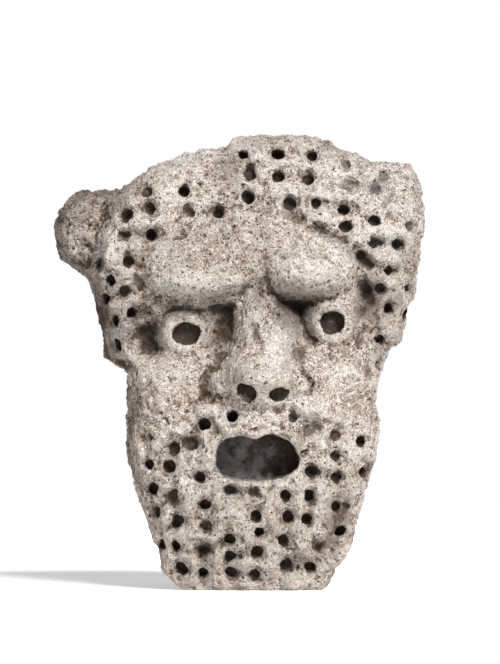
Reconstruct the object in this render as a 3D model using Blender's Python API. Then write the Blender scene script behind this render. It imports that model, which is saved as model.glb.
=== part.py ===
"""A carved stone demon head, made to be set on a building.

One block: a broad mask with heavy brows, ringed eyes, a flat wide nose and an open mouth, framed by hair and
a beard that are dotted with drilled holes. The left horn of hair is broken off to a rough stump.
The head faces -Y and stands on its flat underside, with the flat back that went against the wall at +Y.
"""

import math

import bmesh
import bpy
import numpy as np
from mathutils import Matrix, Vector

# Driving dimensions, in metres.
HEIGHT = 0.454
DEPTH = 0.240
DRILL_DIAMETER = 0.0112
DRILL_TAPER = 0.8
DRILL_DEPTH = 0.018
WORN_DRILL_DEPTH = 0.005
PUPIL_DEPTH = 0.015
MOUTH_DEPTH = 0.050
NOSTRIL_DEPTH = 0.016
BACK_TAPER = 0.06

# The carving is set out in parts, seen from the front: x from the middle, z up from the underside, and how
# far forward of the back. The height is 454 parts and the depth to the tip of the nose is 240.
PARTS_HIGH = 454
PARTS_DEEP = 240
ACROSS = HEIGHT / PARTS_HIGH
FORWARD = DEPTH / PARTS_DEEP

# How finely the solid is faceted.
GRID_STEPS = 104
STONE_FACES = 5200
DRILL_SIDES = 7
PUPIL_SIDES = 16
MOUTH_SIDES = 28

# The stone's outline, anticlockwise from the middle of its right edge.
MIDDLE = (12, 259)
OUTLINE = (
    (187, 363), (184, 389), (182, 408), (171, 425), (152, 428), (132, 427), (111, 437), (96, 443), (90, 449),
    (52, 453), (22, 454), (2, 452), (-10, 446), (-24, 440), (-54, 436), (-73, 428), (-104, 409), (-118, 401),
    (-139, 399), (-158, 399), (-171, 391), (-180, 379), (-187, 363), (-182, 341), (-176, 327), (-155, 318),
    (-147, 306), (-140, 273), (-134, 246), (-134, 231), (-116, 222), (-109, 216), (-109, 194), (-112, 164),
    (-111, 134), (-97, 86), (-79, 39), (-75, 21), (-62, 6), (-52, 0), (82, 0), (91, 10), (110, 40), (118, 64),
    (126, 99), (137, 126), (141, 172), (136, 186), (138, 208), (144, 221), (152, 240), (163, 249), (175, 296),
    (181, 325), (182, 349),
)

# By direction from the middle, in degrees: how far forward the outline's edge and the shoulder inside it lie.
EDGE_FORWARD = (
    (0, 118), (20, 128), (45, 138), (70, 150), (110, 152), (135, 138), (150, 96), (168, 78), (178, 62),
    (197, 62), (210, 96), (235, 116), (250, 160), (290, 160), (305, 128), (325, 104), (360, 118),
)
SHOULDER_FORWARD = (
    (0, 144), (45, 152), (90, 166), (135, 158), (160, 152), (185, 148), (205, 150), (235, 156), (270, 174),
    (310, 156), (330, 144), (360, 144),
)
SHOULDER_WIDTH = 17
CROWN_WIDTH = 75
CORNER_WEAR = 2.25
CROWN_WEAR = 24

# The hairline is an arch over the brows, squarer at the left.
HAIRLINE_MIDDLE = (22, 259)
HAIRLINE_HALF = (119, 123)
HAIR_HEIGHT = 12

# The nose from root to lip: height, middle, half width, how far forward.
NOSE = (
    (316, 16, 13, 184), (298, 16, 19, 197), (280, 18, 25, 205), (262, 20, 30, 212), (244, 23, 40, 221),
    (228, 23, 49, 232), (217, 22, 55, 242), (209, 22, 56, 238), (198, 22, 54, 227), (190, 22, 49, 218),
    (182, 22, 42, 208), (172, 22, 34, 197),
)

EYEBALLS = ((-53, 257), (94, 267))
EYEBALL_RADIUS = 26
PUPILS = (((-51, 255), (14, 11.5)), ((94, 267), (12, 12)))
MOUTH_MIDDLE = (21, 129)
MOUTH_HALF_WIDTH = 41
MOUTH_ABOVE = 26
MOUTH_BELOW = 21
MOUTH_DIP = 5
NOSTRILS = (((8, 196), (12, 7), -45), ((39, 196), (10, 6.5), -12))

# Straight runs of drilled holes: first, last, how many, and which of them are worn shallow.
DRILL_RUNS = (
    # Beard
    ((-91, 152), (-91, 152), 1, (0,)),
    ((-91, 125), (-83, 76), 3, ()),
    ((-78, 45), (-78, 45), 1, ()),
    ((-69, 123), (-61, 69), 3, ()),
    ((-63, 44), (-57, 21), 2, ()),
    ((-38, 114), (-38, 114), 1, ()),
    ((-33, 86), (-32, 41), 3, (1, 2)),
    ((-35, 17), (-35, 17), 1, ()),
    ((-9, 100), (-9, 100), 1, ()),
    ((-9, 50), (-9, 18), 3, ()),
    ((18, 97), (18, 74), 2, (0,)),
    ((21, 58), (18, 16), 3, ()),
    ((48, 95), (50, 73), 2, ()),
    ((45, 50), (48, 24), 2, ()),
    ((74, 119), (70, 70), 3, ()),
    ((79, 44), (73, 21), 2, (0,)),
    ((98, 155), (99, 112), 3, (0,)),
    ((99, 83), (103, 59), 2, ()),
    ((125, 148), (127, 118), 2, ()),
    # Moustache
    ((-65, 141), (-46, 146), 2, (0,)),
    ((-34, 166), (-5, 174), 2, ()),
    ((55, 172), (71, 159), 2, (0, 1)),
    ((67, 139), (67, 139), 1, (0,)),
    # Hair over the forehead
    ((5, 435), (74, 434), 3, ()),
    ((107, 426), (109, 404), 2, (0, 1)),
    ((11, 415), (70, 410), 3, ()),
    ((137, 399), (147, 416), 2, (0, 1)),
    ((10, 390), (10, 390), 1, ()),
    ((51, 384), (77, 385), 2, ()),
    # Hair at the right
    ((105, 379), (136, 368), 2, ()),
    ((171, 363), (161, 344), 2, (0,)),
    ((107, 362), (135, 345), 2, ()),
    ((125, 332), (152, 318), 2, ()),
    ((142, 299), (171, 300), 2, (1,)),
    ((152, 279), (169, 273), 2, ()),
    ((144, 248), (142, 224), 2, (1,)),
    # Hair at the left
    ((-91, 398), (-54, 398), 2, (0,)),
    ((-88, 381), (-88, 381), 1, ()),
    ((-48, 376), (-20, 377), 2, (0,)),
    ((-113, 374), (-84, 353), 2, ()),
    ((-113, 353), (-107, 326), 2, (0,)),
    ((-141, 326), (-128, 307), 2, ()),
    ((-112, 296), (-104, 274), 2, ()),
    ((-134, 289), (-124, 267), 2, ()),
    ((-122, 244), (-122, 244), 1, ()),
)


def smooth_max(a, b, fillet):
    """The greater of two heights, rounded over where they cross."""
    share = np.clip(0.5 + 0.5 * (a - b) / fillet, 0, 1)
    return b + (a - b) * share + fillet * share * (1 - share)


def smooth_step(start, end, value):
    """0 before start, 1 after end and a smooth rise between."""
    share = np.clip((value - start) / (end - start), 0, 1)
    return share * share * (3 - 2 * share)


def bell(value, middle, width):
    """1 at the middle, falling away on both sides."""
    return np.exp(-(((value - middle) / width) ** 2))


def spread(x, z, at, half, turn=0, square=2):
    """0 at the middle of a turned oval, 1 on its edge; a higher square gives it corners."""
    cos, sin = math.cos(math.radians(turn)), math.sin(math.radians(turn))
    dx, dz = x - at[0], z - at[1]
    along = np.abs(dx * cos + dz * sin) / half[0]
    aside = np.abs(dz * cos - dx * sin) / half[1]
    return (along**square + aside**square) ** (1 / square)


def mouth_spread(x, z):
    """0 in the middle of the mouth and 1 on its edge: flat at the left, with a dip in the upper lip."""
    dx, dz = x - MOUTH_MIDDLE[0], z - MOUTH_MIDDLE[1]
    above = MOUTH_ABOVE - MOUTH_DIP * bell(dx, -2, 9)
    aside = np.abs(dz) / np.where(dz > 0, above, MOUTH_BELOW)
    square = np.where(dx < 0, 3.0, 2.2)
    return (np.abs(dx / MOUTH_HALF_WIDTH) ** square + aside**square) ** (1 / square)


def by_direction(angle, table):
    """A value read from a table of (direction, value)."""
    return np.interp(angle % 360, [row[0] for row in table], [row[1] for row in table])


def outline_radii(wear, steps=1440):
    """How far the outline lies from the middle in each direction, averaged over some degrees of wear."""
    corners = np.array(OUTLINE, float) - MIDDLE
    share = np.linspace(0, 1, 60, endpoint=False)[:, None]
    ends = zip(corners, np.roll(corners, -1, axis=0))
    points = np.concatenate([start + (end - start) * share for start, end in ends])
    angles = np.degrees(np.arctan2(points[:, 1], points[:, 0])) % 360
    radii = np.zeros(steps)
    np.maximum.at(radii, np.round(angles / 360 * steps).astype(int) % steps, np.hypot(*points.T))
    grid = np.arange(steps) * 360 / steps
    met = radii > 0
    radii = np.interp(grid, grid[met], radii[met], period=360)
    reach = round(wear / 360 * steps)
    window = np.hanning(2 * reach + 1)
    wrapped = np.concatenate([radii[-reach:], radii, radii[:reach]])
    return grid, np.convolve(wrapped, window / window.sum(), "valid")


WORN_OUTLINE = outline_radii(CORNER_WEAR)
ROUND_OUTLINE = outline_radii(CROWN_WEAR)


def outline_radius(angle, outline=WORN_OUTLINE):
    return np.interp(angle % 360, *outline, period=360)


class Relief:
    """How far forward of the back the front lies, at points seen from the front, all in parts."""

    def __init__(self, x, z):
        self.x, self.z = x, z
        self.forward = np.zeros_like(x)

    def mound(self, at, half, foot, crest, turn=0, fullness=2.0, fillet=8, square=2):
        """An oval mass that rises from foot, at its edge, to crest."""
        share = 1 - spread(self.x, self.z, at, half, turn, square) ** fullness
        self.forward = smooth_max(self.forward, foot + (crest - foot) * share, fillet)

    def hollow(self, at, half, floor, lip, turn=0, fullness=2.0, fillet=6, square=2):
        """An oval hollow that falls from lip, at its edge, to floor."""
        share = spread(self.x, self.z, at, half, turn, square) ** fullness
        self.forward = -smooth_max(-self.forward, -(floor + (lip - floor) * share), fillet)

    def ridge(self, stations, foot, fullness, fillet, soft=5):
        """A mass along a line of stations: height, middle, half width and how far forward."""
        heights, *columns = (np.array(column, float) for column in zip(*sorted(stations)))
        shifts = np.linspace(-soft, soft, 5)
        middle, half, crest = (
            np.mean([np.interp(self.z + shift, heights, column) for shift in shifts], axis=0)
            for column in columns
        )
        body = foot + (crest - foot) * (1 - np.abs((self.x - middle) / half) ** fullness)
        body = np.where((self.z < heights[0]) | (self.z > heights[-1]), 0, np.maximum(body, 0))
        self.forward = smooth_max(self.forward, body, fillet)


def lay_ground(relief):
    """The block's domed front: a worn shoulder inside the outline, and a low crown."""
    dx, dz = relief.x - MIDDLE[0], relief.z - MIDDLE[1]
    angle = np.degrees(np.arctan2(dz, dx))
    radius = np.hypot(dx, dz)
    edge = by_direction(angle, EDGE_FORWARD)
    shoulder = by_direction(angle, SHOULDER_FORWARD)
    crown = 180 + 10 * (1 - np.clip(radius / 230, 0, 1) ** 2)
    near = np.clip((outline_radius(angle) - radius) / SHOULDER_WIDTH, 0, 1)
    far = np.clip((outline_radius(angle, ROUND_OUTLINE) - radius) / CROWN_WIDTH, 0, 1)
    relief.forward = edge + (shoulder - edge) * (1 - (1 - near) ** 2) ** 0.6
    relief.forward += (crown - shoulder) * (1 - (1 - far) ** 2)


def raise_hair(relief):
    """The hair stands proud of the forehead, and drops to the broken stump at the left."""
    dx = np.abs(relief.x - HAIRLINE_MIDDLE[0]) / HAIRLINE_HALF[0]
    dz = np.abs(relief.z - HAIRLINE_MIDDLE[1]) / HAIRLINE_HALF[1]
    at_left = relief.x < HAIRLINE_MIDDLE[0]
    square = np.where(at_left, 2.8, 1.9)
    hairline = (dx**square + dz**square) ** (1 / square)
    above_cheeks = smooth_step(218, 244, relief.z)
    step = 0.16 - 0.11 * smooth_step(-20, 60, relief.x)
    hair = smooth_step(0.97, 0.97 + step, hairline)
    relief.forward += above_cheeks * (HAIR_HEIGHT * hair - HAIR_HEIGHT / 3)
    stump = smooth_step(122, 140, 0.28 * (relief.z - 360) - relief.x) * smooth_step(304, 326, relief.z)
    relief.forward -= 42 * stump


def model_cheeks_and_beard(relief):
    relief.mound((-66, 206), (46, 44), foot=160, crest=187, fillet=16)
    relief.mound((106, 216), (42, 44), foot=158, crest=185, fillet=16)
    relief.mound((20, 110), (100, 110), foot=168, crest=203, fullness=2.4, fillet=18)
    relief.mound((21, 160), (66, 42), foot=172, crest=204, fillet=14)


def model_brows(relief):
    """Two swelling brows that run up into the forehead."""
    relief.mound((20, 342), (112, 52), foot=170, crest=204, fullness=3, fillet=14)
    relief.mound((-44, 320), (66, 42), foot=176, crest=213, turn=-5, fullness=2.2, fillet=10)
    relief.mound((82, 328), (60, 42), foot=176, crest=211, turn=10, fullness=2.2, fillet=10)
    relief.mound((16, 325), (20, 40), foot=170, crest=193, fillet=8)


def cut_sockets(relief):
    """The sockets, cut in sharply under the brows, and the temples outside them."""
    relief.hollow((-50, 262), (60, 27), floor=178, lip=200, turn=-3, fullness=3.5, fillet=6, square=2.6)
    relief.hollow((91, 269), (54, 27), floor=178, lip=200, turn=9, fullness=3.5, fillet=6, square=2.4)
    relief.hollow((-91, 255), (17, 26), floor=166, lip=186, turn=-8, fillet=12)
    relief.hollow((135, 282), (13, 24), floor=164, lip=182, turn=-10, fillet=12)


def model_nose(relief):
    relief.ridge(NOSE, foot=160, fullness=2.1, fillet=7)
    relief.mound((40, 256), (34, 46), foot=162, crest=200, turn=16, fillet=14)
    relief.mound((-15, 204), (18, 19), foot=178, crest=205, turn=20, fullness=2.4, fillet=12)
    relief.mound((60, 208), (17, 19), foot=178, crest=205, turn=-20, fullness=2.4, fillet=12)


def cut_inner_corners(relief):
    """A deep pit beside the root of the nose at the left, and a long crease down to the eye at the right."""
    relief.hollow((-14, 272), (15, 24), floor=152, lip=192, fillet=4, square=2.4)
    relief.hollow((70, 274), (9, 28), floor=160, lip=188, turn=24)
    relief.hollow((44, 298), (8, 28), floor=176, lip=196, turn=42, fillet=8)


def model_eyeballs(relief):
    for at in EYEBALLS:
        radius = np.hypot(relief.x - at[0], relief.z - at[1])
        past_edge = np.clip(radius - 0.85 * EYEBALL_RADIUS, 0, None)
        ball = 192 - 0.014 * radius**2 - 1.3 * past_edge
        relief.forward = smooth_max(relief.forward, ball, 4)
        relief.forward += 2.5 * bell(radius, 19, 3.5)


def model_lips(relief):
    """A narrow rim round the mouth, stronger above it, with a groove outside it."""
    around = mouth_spread(relief.x, relief.z)
    upper = smooth_step(118, 135, relief.z)
    relief.forward += (1.5 + 3 * upper) * bell(around, 1.17, 0.10) - 2 * upper * bell(around, 1.42, 0.08)


def carve(x, z):
    """The whole front of the head: how far forward of the back it lies, in parts."""
    relief = Relief(np.asarray(x, float), np.asarray(z, float))
    for step in (
        lay_ground,
        raise_hair,
        model_cheeks_and_beard,
        model_brows,
        cut_sockets,
        model_nose,
        cut_inner_corners,
        model_eyeballs,
        model_lips,
    ):
        step(relief)
    return relief.forward


def place(x, z, forward):
    """A carver's point, in parts, as a place in metres."""
    return Vector((x * ACROSS, DEPTH / 2 - forward * FORWARD, z * ACROSS))


def drill_holes():
    """Every drilled hole: where it is, and whether it is worn."""
    for first, last, count, worn in DRILL_RUNS:
        for number in range(count):
            share = number / max(count - 1, 1)
            x = first[0] + (last[0] - first[0]) * share
            z = first[1] + (last[1] - first[1]) * share
            yield x, z, number in worn


def surface_frame(x, z, lean=0.5):
    """The place on the front at a point, and the way a drill held there points in."""
    reach = 3
    xs = np.array([x, x + reach, x - reach, x, x], float)
    zs = np.array([z, z, z, z + reach, z - reach], float)
    forward = carve(xs, zs)
    slope_x = (forward[1] - forward[2]) * FORWARD / (2 * reach * ACROSS)
    slope_z = (forward[3] - forward[4]) * FORWARD / (2 * reach * ACROSS)
    normal = Vector((-slope_x, -1, -slope_z)).normalized()
    inward = -(normal * lean + Vector((0, -1, 0)) * (1 - lean)).normalized()
    return place(x, z, float(forward[0])), inward


def new_object(name, bm):
    bmesh.ops.recalc_face_normals(bm, faces=bm.faces)
    mesh = bpy.data.meshes.new(name)
    bm.to_mesh(mesh)
    bm.free()
    made = bpy.data.objects.new(name, mesh)
    bpy.context.scene.collection.objects.link(made)
    return made


def new_cutter(name, bm):
    made = new_object(name, bm)
    made.hide_render = True
    made.display_type = "WIRE"
    return made


def stone():
    """The carved front on a grid, the sides behind it and the back, with stone to spare where it is sawn."""
    side = np.linspace(-1, 1, GRID_STEPS + 1)
    u, v = np.meshgrid(side, side, indexing="ij")
    disc_x, disc_z = u * np.sqrt(1 - v**2 / 2), v * np.sqrt(1 - u**2 / 2)
    angle = np.degrees(np.arctan2(disc_z, disc_x))
    radius = np.hypot(disc_x, disc_z) * outline_radius(angle)
    x = MIDDLE[0] + radius * np.cos(np.radians(angle))
    z = MIDDLE[1] + radius * np.sin(np.radians(angle))
    forward = carve(x, z)

    bm = bmesh.new()
    spare = PARTS_HIGH / 100
    z = np.where(z < 1, z - spare, z)
    front = [[bm.verts.new(place(*point)) for point in zip(*row)] for row in zip(x, z, forward)]
    steps = range(GRID_STEPS)
    for i in steps:
        for j in steps:
            bm.faces.new((front[i][j], front[i + 1][j], front[i + 1][j + 1], front[i][j + 1]))
    last = GRID_STEPS
    border = [(i, 0) for i in steps] + [(last, j) for j in steps]
    border += [(last - i, last) for i in steps] + [(0, last - j) for j in steps]
    ring = [front[i][j] for i, j in border]
    for share in (0.75, 0.5, 0.25, 0):
        taper = 1 - BACK_TAPER * (1 - share)
        behind = []
        for i, j in border:
            across = MIDDLE[0] + (x[i, j] - MIDDLE[0]) * taper
            back = forward[i, j] * share if share else -spare
            behind.append(bm.verts.new(place(across, z[i, j] * taper, back)))
        for k, corner in enumerate(ring):
            after = (k + 1) % len(ring)
            bm.faces.new((corner, ring[after], behind[after], behind[k]))
        ring = behind
    bm.faces.new(ring)
    return bm


def drill_cutter():
    """A slightly tapered plug for every drilled hole."""
    bm = bmesh.new()
    radius = DRILL_DIAMETER / 2
    for x, z, worn in drill_holes():
        surface, inward = surface_frame(x, z)
        depth = WORN_DRILL_DEPTH if worn else DRILL_DEPTH
        clear = DRILL_DIAMETER
        length = depth + clear
        turned = inward.to_track_quat("Z", "Y").to_matrix().to_4x4()
        middle = Matrix.Translation(surface + inward * (depth - length / 2)) @ turned
        bmesh.ops.create_cone(
            bm,
            cap_ends=True,
            segments=DRILL_SIDES,
            radius1=radius,
            radius2=radius * DRILL_TAPER,
            depth=length,
            matrix=middle,
        )
    return bm


def plug(bm, points, floor, inward, clear):
    """A plug with the given outline on the surface, from clear of it down to floor."""
    outer = [bm.verts.new(point - inward * clear) for point in points]
    inner = [bm.verts.new(point + inward * floor) for point in points]
    bm.faces.new(outer)
    bm.faces.new(inner)
    for k in range(len(points)):
        after = (k + 1) % len(points)
        bm.faces.new((outer[k], outer[after], inner[after], inner[k]))


def oval(at, half, turn, sides, forward):
    """The points of a turned oval on a plane that lies forward of the back."""
    points = []
    for k in range(sides):
        angle = math.tau * k / sides
        along, aside = half[0] * math.cos(angle), half[1] * math.sin(angle)
        cos, sin = math.cos(math.radians(turn)), math.sin(math.radians(turn))
        points.append(place(at[0] + along * cos - aside * sin, at[1] + along * sin + aside * cos, forward))
    return points


def pupil_cutter():
    bm = bmesh.new()
    for at, half in PUPILS:
        forward = float(carve([at[0]], [at[1]])[0])
        plug(bm, oval(at, half, 0, PUPIL_SIDES, forward), PUPIL_DEPTH, Vector((0, 1, 0)), PUPIL_DEPTH)
    return bm


def nostril_cutter():
    """The nostrils run in and up from the underside of the nose."""
    bm = bmesh.new()
    inward = Vector((0, math.cos(math.radians(25)), math.sin(math.radians(25))))
    for at, half, turn in NOSTRILS:
        forward = float(carve([at[0]], [at[1]])[0])
        plug(bm, oval(at, half, turn, PUPIL_SIDES, forward), NOSTRIL_DEPTH, inward, NOSTRIL_DEPTH)
    return bm


def mouth_cutter():
    """The open mouth: its outline is where mouth_spread is 1."""
    bm = bmesh.new()
    forward = float(carve([MOUTH_MIDDLE[0]], [MOUTH_MIDDLE[1]])[0])
    points = []
    for k in range(MOUTH_SIDES):
        angle = math.tau * k / MOUTH_SIDES
        cos, sin = math.cos(angle), math.sin(angle)
        radius = 30.0
        for _ in range(8):
            radius /= float(mouth_spread(MOUTH_MIDDLE[0] + radius * cos, MOUTH_MIDDLE[1] + radius * sin))
        points.append(place(MOUTH_MIDDLE[0] + radius * cos, MOUTH_MIDDLE[1] + radius * sin, forward))
    plug(bm, points, MOUTH_DEPTH, Vector((0, 1, 0)), MOUTH_DEPTH)
    return bm


def slab(middle, size):
    """A block that is taken off to leave a flat face."""
    bm = bmesh.new()
    bmesh.ops.create_cube(bm, size=1, matrix=Matrix.Translation(middle) @ Matrix.Diagonal((*size, 1)))
    return bm


def stone_material():
    """Pale, weathered limestone."""
    made = bpy.data.materials.new("weathered_limestone")
    made.use_nodes = True
    shader = made.node_tree.nodes["Principled BSDF"]
    shader.inputs["Base Color"].default_value = (0.40, 0.34, 0.29, 1)
    shader.inputs["Roughness"].default_value = 0.9
    shader.inputs["Metallic"].default_value = 0
    return made


def main():
    for old in list(bpy.data.objects):
        bpy.data.objects.remove(old)
    head = new_object("stone_head", stone())
    head.data.materials.append(stone_material())
    head.data.shade_smooth()
    thin = head.modifiers.new("fewer faces", "DECIMATE")
    thin.ratio = STONE_FACES / sum(len(face.vertices) - 2 for face in head.data.polygons)
    thin.use_collapse_triangulate = True
    cutters = (
        ("underside cut", slab((0, 0, -HEIGHT / 2), (2 * HEIGHT, 2 * HEIGHT, HEIGHT))),
        ("back cut", slab((0, DEPTH, HEIGHT / 2), (2 * HEIGHT, DEPTH, 2 * HEIGHT))),
        ("mouth", mouth_cutter()),
        ("pupils", pupil_cutter()),
        ("nostrils", nostril_cutter()),
        ("drilled holes", drill_cutter()),
    )
    for name, bm in cutters:
        cut = head.modifiers.new(name, "BOOLEAN")
        cut.operation = "DIFFERENCE"
        cut.object = new_cutter(name + " cutter", bm)


main()
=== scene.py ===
"""The looks of a carved stone demon head, once set on a building.

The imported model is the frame. The head is carved again here at full sharpness, close to the solid's form,
then drilled, weathered and given the finish of old pitted limestone. It stands in a plain pale studio.
"""

import math

import bmesh
import bpy
import numpy as np
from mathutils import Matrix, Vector
from mathutils.kdtree import KDTree


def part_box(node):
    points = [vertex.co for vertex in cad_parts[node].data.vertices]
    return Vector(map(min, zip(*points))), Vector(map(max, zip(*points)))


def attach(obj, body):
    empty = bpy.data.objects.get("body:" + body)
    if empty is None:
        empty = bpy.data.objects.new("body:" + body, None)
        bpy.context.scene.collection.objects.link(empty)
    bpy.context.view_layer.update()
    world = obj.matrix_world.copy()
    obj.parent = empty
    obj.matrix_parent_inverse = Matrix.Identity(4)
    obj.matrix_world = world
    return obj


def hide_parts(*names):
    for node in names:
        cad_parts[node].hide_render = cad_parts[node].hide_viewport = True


bl_info = {
    "name": "Stone demon head",
    "version": (1, 0, 0),
    "blender": (4, 5, 0),
    "location": "3D View > Sidebar > Stone head",
    "description": "Carves, drills and weathers a stone demon head, and sets up its studio",
    "category": "Object",
}

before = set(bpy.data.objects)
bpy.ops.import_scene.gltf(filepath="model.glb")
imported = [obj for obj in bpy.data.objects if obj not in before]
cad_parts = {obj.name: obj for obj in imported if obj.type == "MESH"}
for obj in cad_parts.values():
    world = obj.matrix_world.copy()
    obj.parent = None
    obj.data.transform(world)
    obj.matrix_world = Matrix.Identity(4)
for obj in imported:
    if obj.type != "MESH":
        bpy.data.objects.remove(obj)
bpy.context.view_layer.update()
NODE = "stone_head"
LOW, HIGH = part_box(NODE)

# The carving is set out in parts, seen from the front: x from the middle, z up from the underside, and how
# far forward of the back. The head is 454 parts high.
PARTS_HIGH = 454
PART = (HIGH.z - LOW.z) / PARTS_HIGH
MILLIMETRE = 0.001

# The stone's outline, anticlockwise from the middle of its right edge.
MIDDLE = (12, 259)
OUTLINE = (
    (187, 363), (184, 389), (182, 408), (171, 425), (152, 428), (132, 427), (111, 437), (97, 441),
    (93, 450), (52, 453), (22, 454), (2, 452), (-7, 448), (-12, 442), (-24, 439), (-54, 436), (-73, 428),
    (-104, 409), (-118, 401), (-139, 399), (-158, 399), (-171, 391), (-180, 379), (-187, 363), (-182, 341),
    (-176, 327), (-155, 318), (-147, 306), (-140, 273), (-134, 246), (-134, 231), (-116, 222), (-109, 216),
    (-109, 194), (-112, 164), (-111, 134), (-97, 86), (-79, 39), (-75, 21), (-62, 6), (-52, 0), (82, 0),
    (91, 10), (110, 40), (118, 64), (126, 99), (137, 126), (141, 172), (136, 186), (138, 208), (144, 221),
    (152, 240), (163, 249), (175, 296), (181, 325), (182, 349),
)

# By direction from the middle, in degrees: how far forward the outline's edge and the shoulder inside it lie.
EDGE_FORWARD = (
    (0, 118), (20, 128), (45, 138), (70, 150), (110, 152), (135, 138), (150, 96), (168, 78), (178, 62),
    (197, 62), (210, 96), (235, 116), (250, 160), (290, 160), (305, 128), (325, 104), (360, 118),
)
SHOULDER_FORWARD = (
    (0, 144), (45, 152), (90, 166), (135, 158), (160, 152), (185, 148), (205, 150), (235, 156), (270, 174),
    (310, 156), (330, 144), (360, 144),
)
SHOULDER_WIDTH = 17
SHOULDER_ROUNDING = 0.6
CROWN_WIDTH = 75
CROWN_FOOT = 180
CROWN_RISE = 10
CROWN_RADIUS = 230
CORNER_WEAR = 0.9
CROWN_WEAR = 24

# The sides: how much they narrow towards the back, and over how many points their turns are evened out.
BACK_TAPER = 0.06
UNDERSIDE_REACH = 9
SIDES_REACH = 16

# What counts as the flat underside, and the room kept inside the solid, in metres.
UNDERSIDE_HEIGHT = 0.0008
UNDERSIDE_FACING = -0.7
MARGIN = 0.0003

# The hairline is an arch over the brows, squarer at the left.
HAIRLINE_MIDDLE = (22, 259)
HAIRLINE_HALF = (119, 123)
HAIRLINE_SQUARE = (2.8, 1.9)
HAIR_ENDS_BETWEEN = (218, 244)
HAIR_HEIGHT = 12

# The broken stump at the left: how far back it drops, between which places outwards and upwards it sets in,
# how it leans, and how much farther in it reaches higher up.
STUMP_DROP = 42
STUMP_OUTWARDS = (122, 140)
STUMP_UPWARDS = (304, 326)
STUMP_LEAN = 0.28
STUMP_UPRIGHT_AT = 360
STUMP_FARTHER_IN = 9
STUMP_FARTHER_BETWEEN = (345, 385)

# A recess beside the root of the nose: its sharp top right corner, how far it runs left and down, its depth,
# the share of its size that its sharp edges take, and how soon it fades.
RECESS_CORNER = (-1, 286)
RECESS_SIZE = (29, 46)
RECESS_DEPTH = 34
RECESS_EDGES = (0.16, 0.1)
RECESS_FADES = (0.8, 0.9)

# The nose from root to lip: height, middle, half width, how far forward.
NOSE = (
    (316, 16, 13, 184), (298, 16, 19, 197), (280, 18, 25, 205), (262, 20, 30, 212), (244, 23, 40, 221),
    (228, 23, 49, 232), (217, 22, 55, 242), (209, 22, 56, 238), (198, 22, 54, 227), (190, 22, 49, 218),
    (182, 22, 42, 208), (172, 22, 34, 197),
)

# Channels along stations: x, z, half width, depth.
RIGHT_CREASE = (
    (27, 342, 5, 0), (27, 324, 7, 4), (33, 306, 10, 8), (47, 290, 13, 11), (60, 281, 18, 15),
    (67, 270, 15, 15), (70, 259, 10, 11), (75, 250, 8, 6), (83, 243, 6, 0),
)
RIGHT_HAIRLINE = (
    (46, 386, 8, 0), (56, 377, 9, 4), (72, 362, 9, 7), (92, 355, 9, 8), (108, 344, 9, 9), (122, 331, 10, 9),
    (136, 320, 10, 5), (142, 308, 10, 0),
)
LEFT_TEMPLE = (
    (-104, 284, 14, 0), (-96, 268, 17, 8), (-90, 254, 19, 15), (-86, 242, 17, 11), (-86, 228, 14, 0),
)
RIGHT_TEMPLE = (
    (120, 334, 14, 0), (126, 312, 20, 5), (130, 296, 20, 6), (132, 282, 18, 7), (138, 262, 14, 0),
)
LEFT_FLANK = ((-14, 268, 12, 3), (-17, 252, 16, 9), (-20, 234, 17, 8), (-25, 214, 12, 0))
LEFT_BROW_UNDERSIDE = (
    (-96, 304, 10, 0), (-78, 291, 13, 4), (-52, 284, 13, 4), (-28, 281, 12, 6), (-6, 284, 9, 5),
)
LEFT_BROW_NOTCH = ((-22, 291, 6, 0), (-9, 295, 7, 6), (3, 300, 7, 5), (11, 307, 6, 0))
RIGHT_BROW_UNDERSIDE = ((40, 300, 9, 0), (58, 292, 12, 6), (76, 290, 12, 3), (90, 293, 12, 0))
LEFT_LID = ((-80, 262, 4, 0), (-73, 274, 5, 1.5), (-54, 281, 5, 2), (-36, 275, 5, 0))
NOSE_RIGHT_CREASE = (
    (58, 226, 4, 0), (65, 218, 4, 5), (73, 206, 5, 8), (72, 196, 5, 5), (64, 186, 8, 3), (56, 180, 8, 0),
)
NOSE_LEFT_CREASE = (
    (-26, 226, 9, 0), (-31, 216, 8, 3), (-34, 203, 8, 4), (-32, 192, 8, 2), (-27, 184, 9, 0),
)

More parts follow.
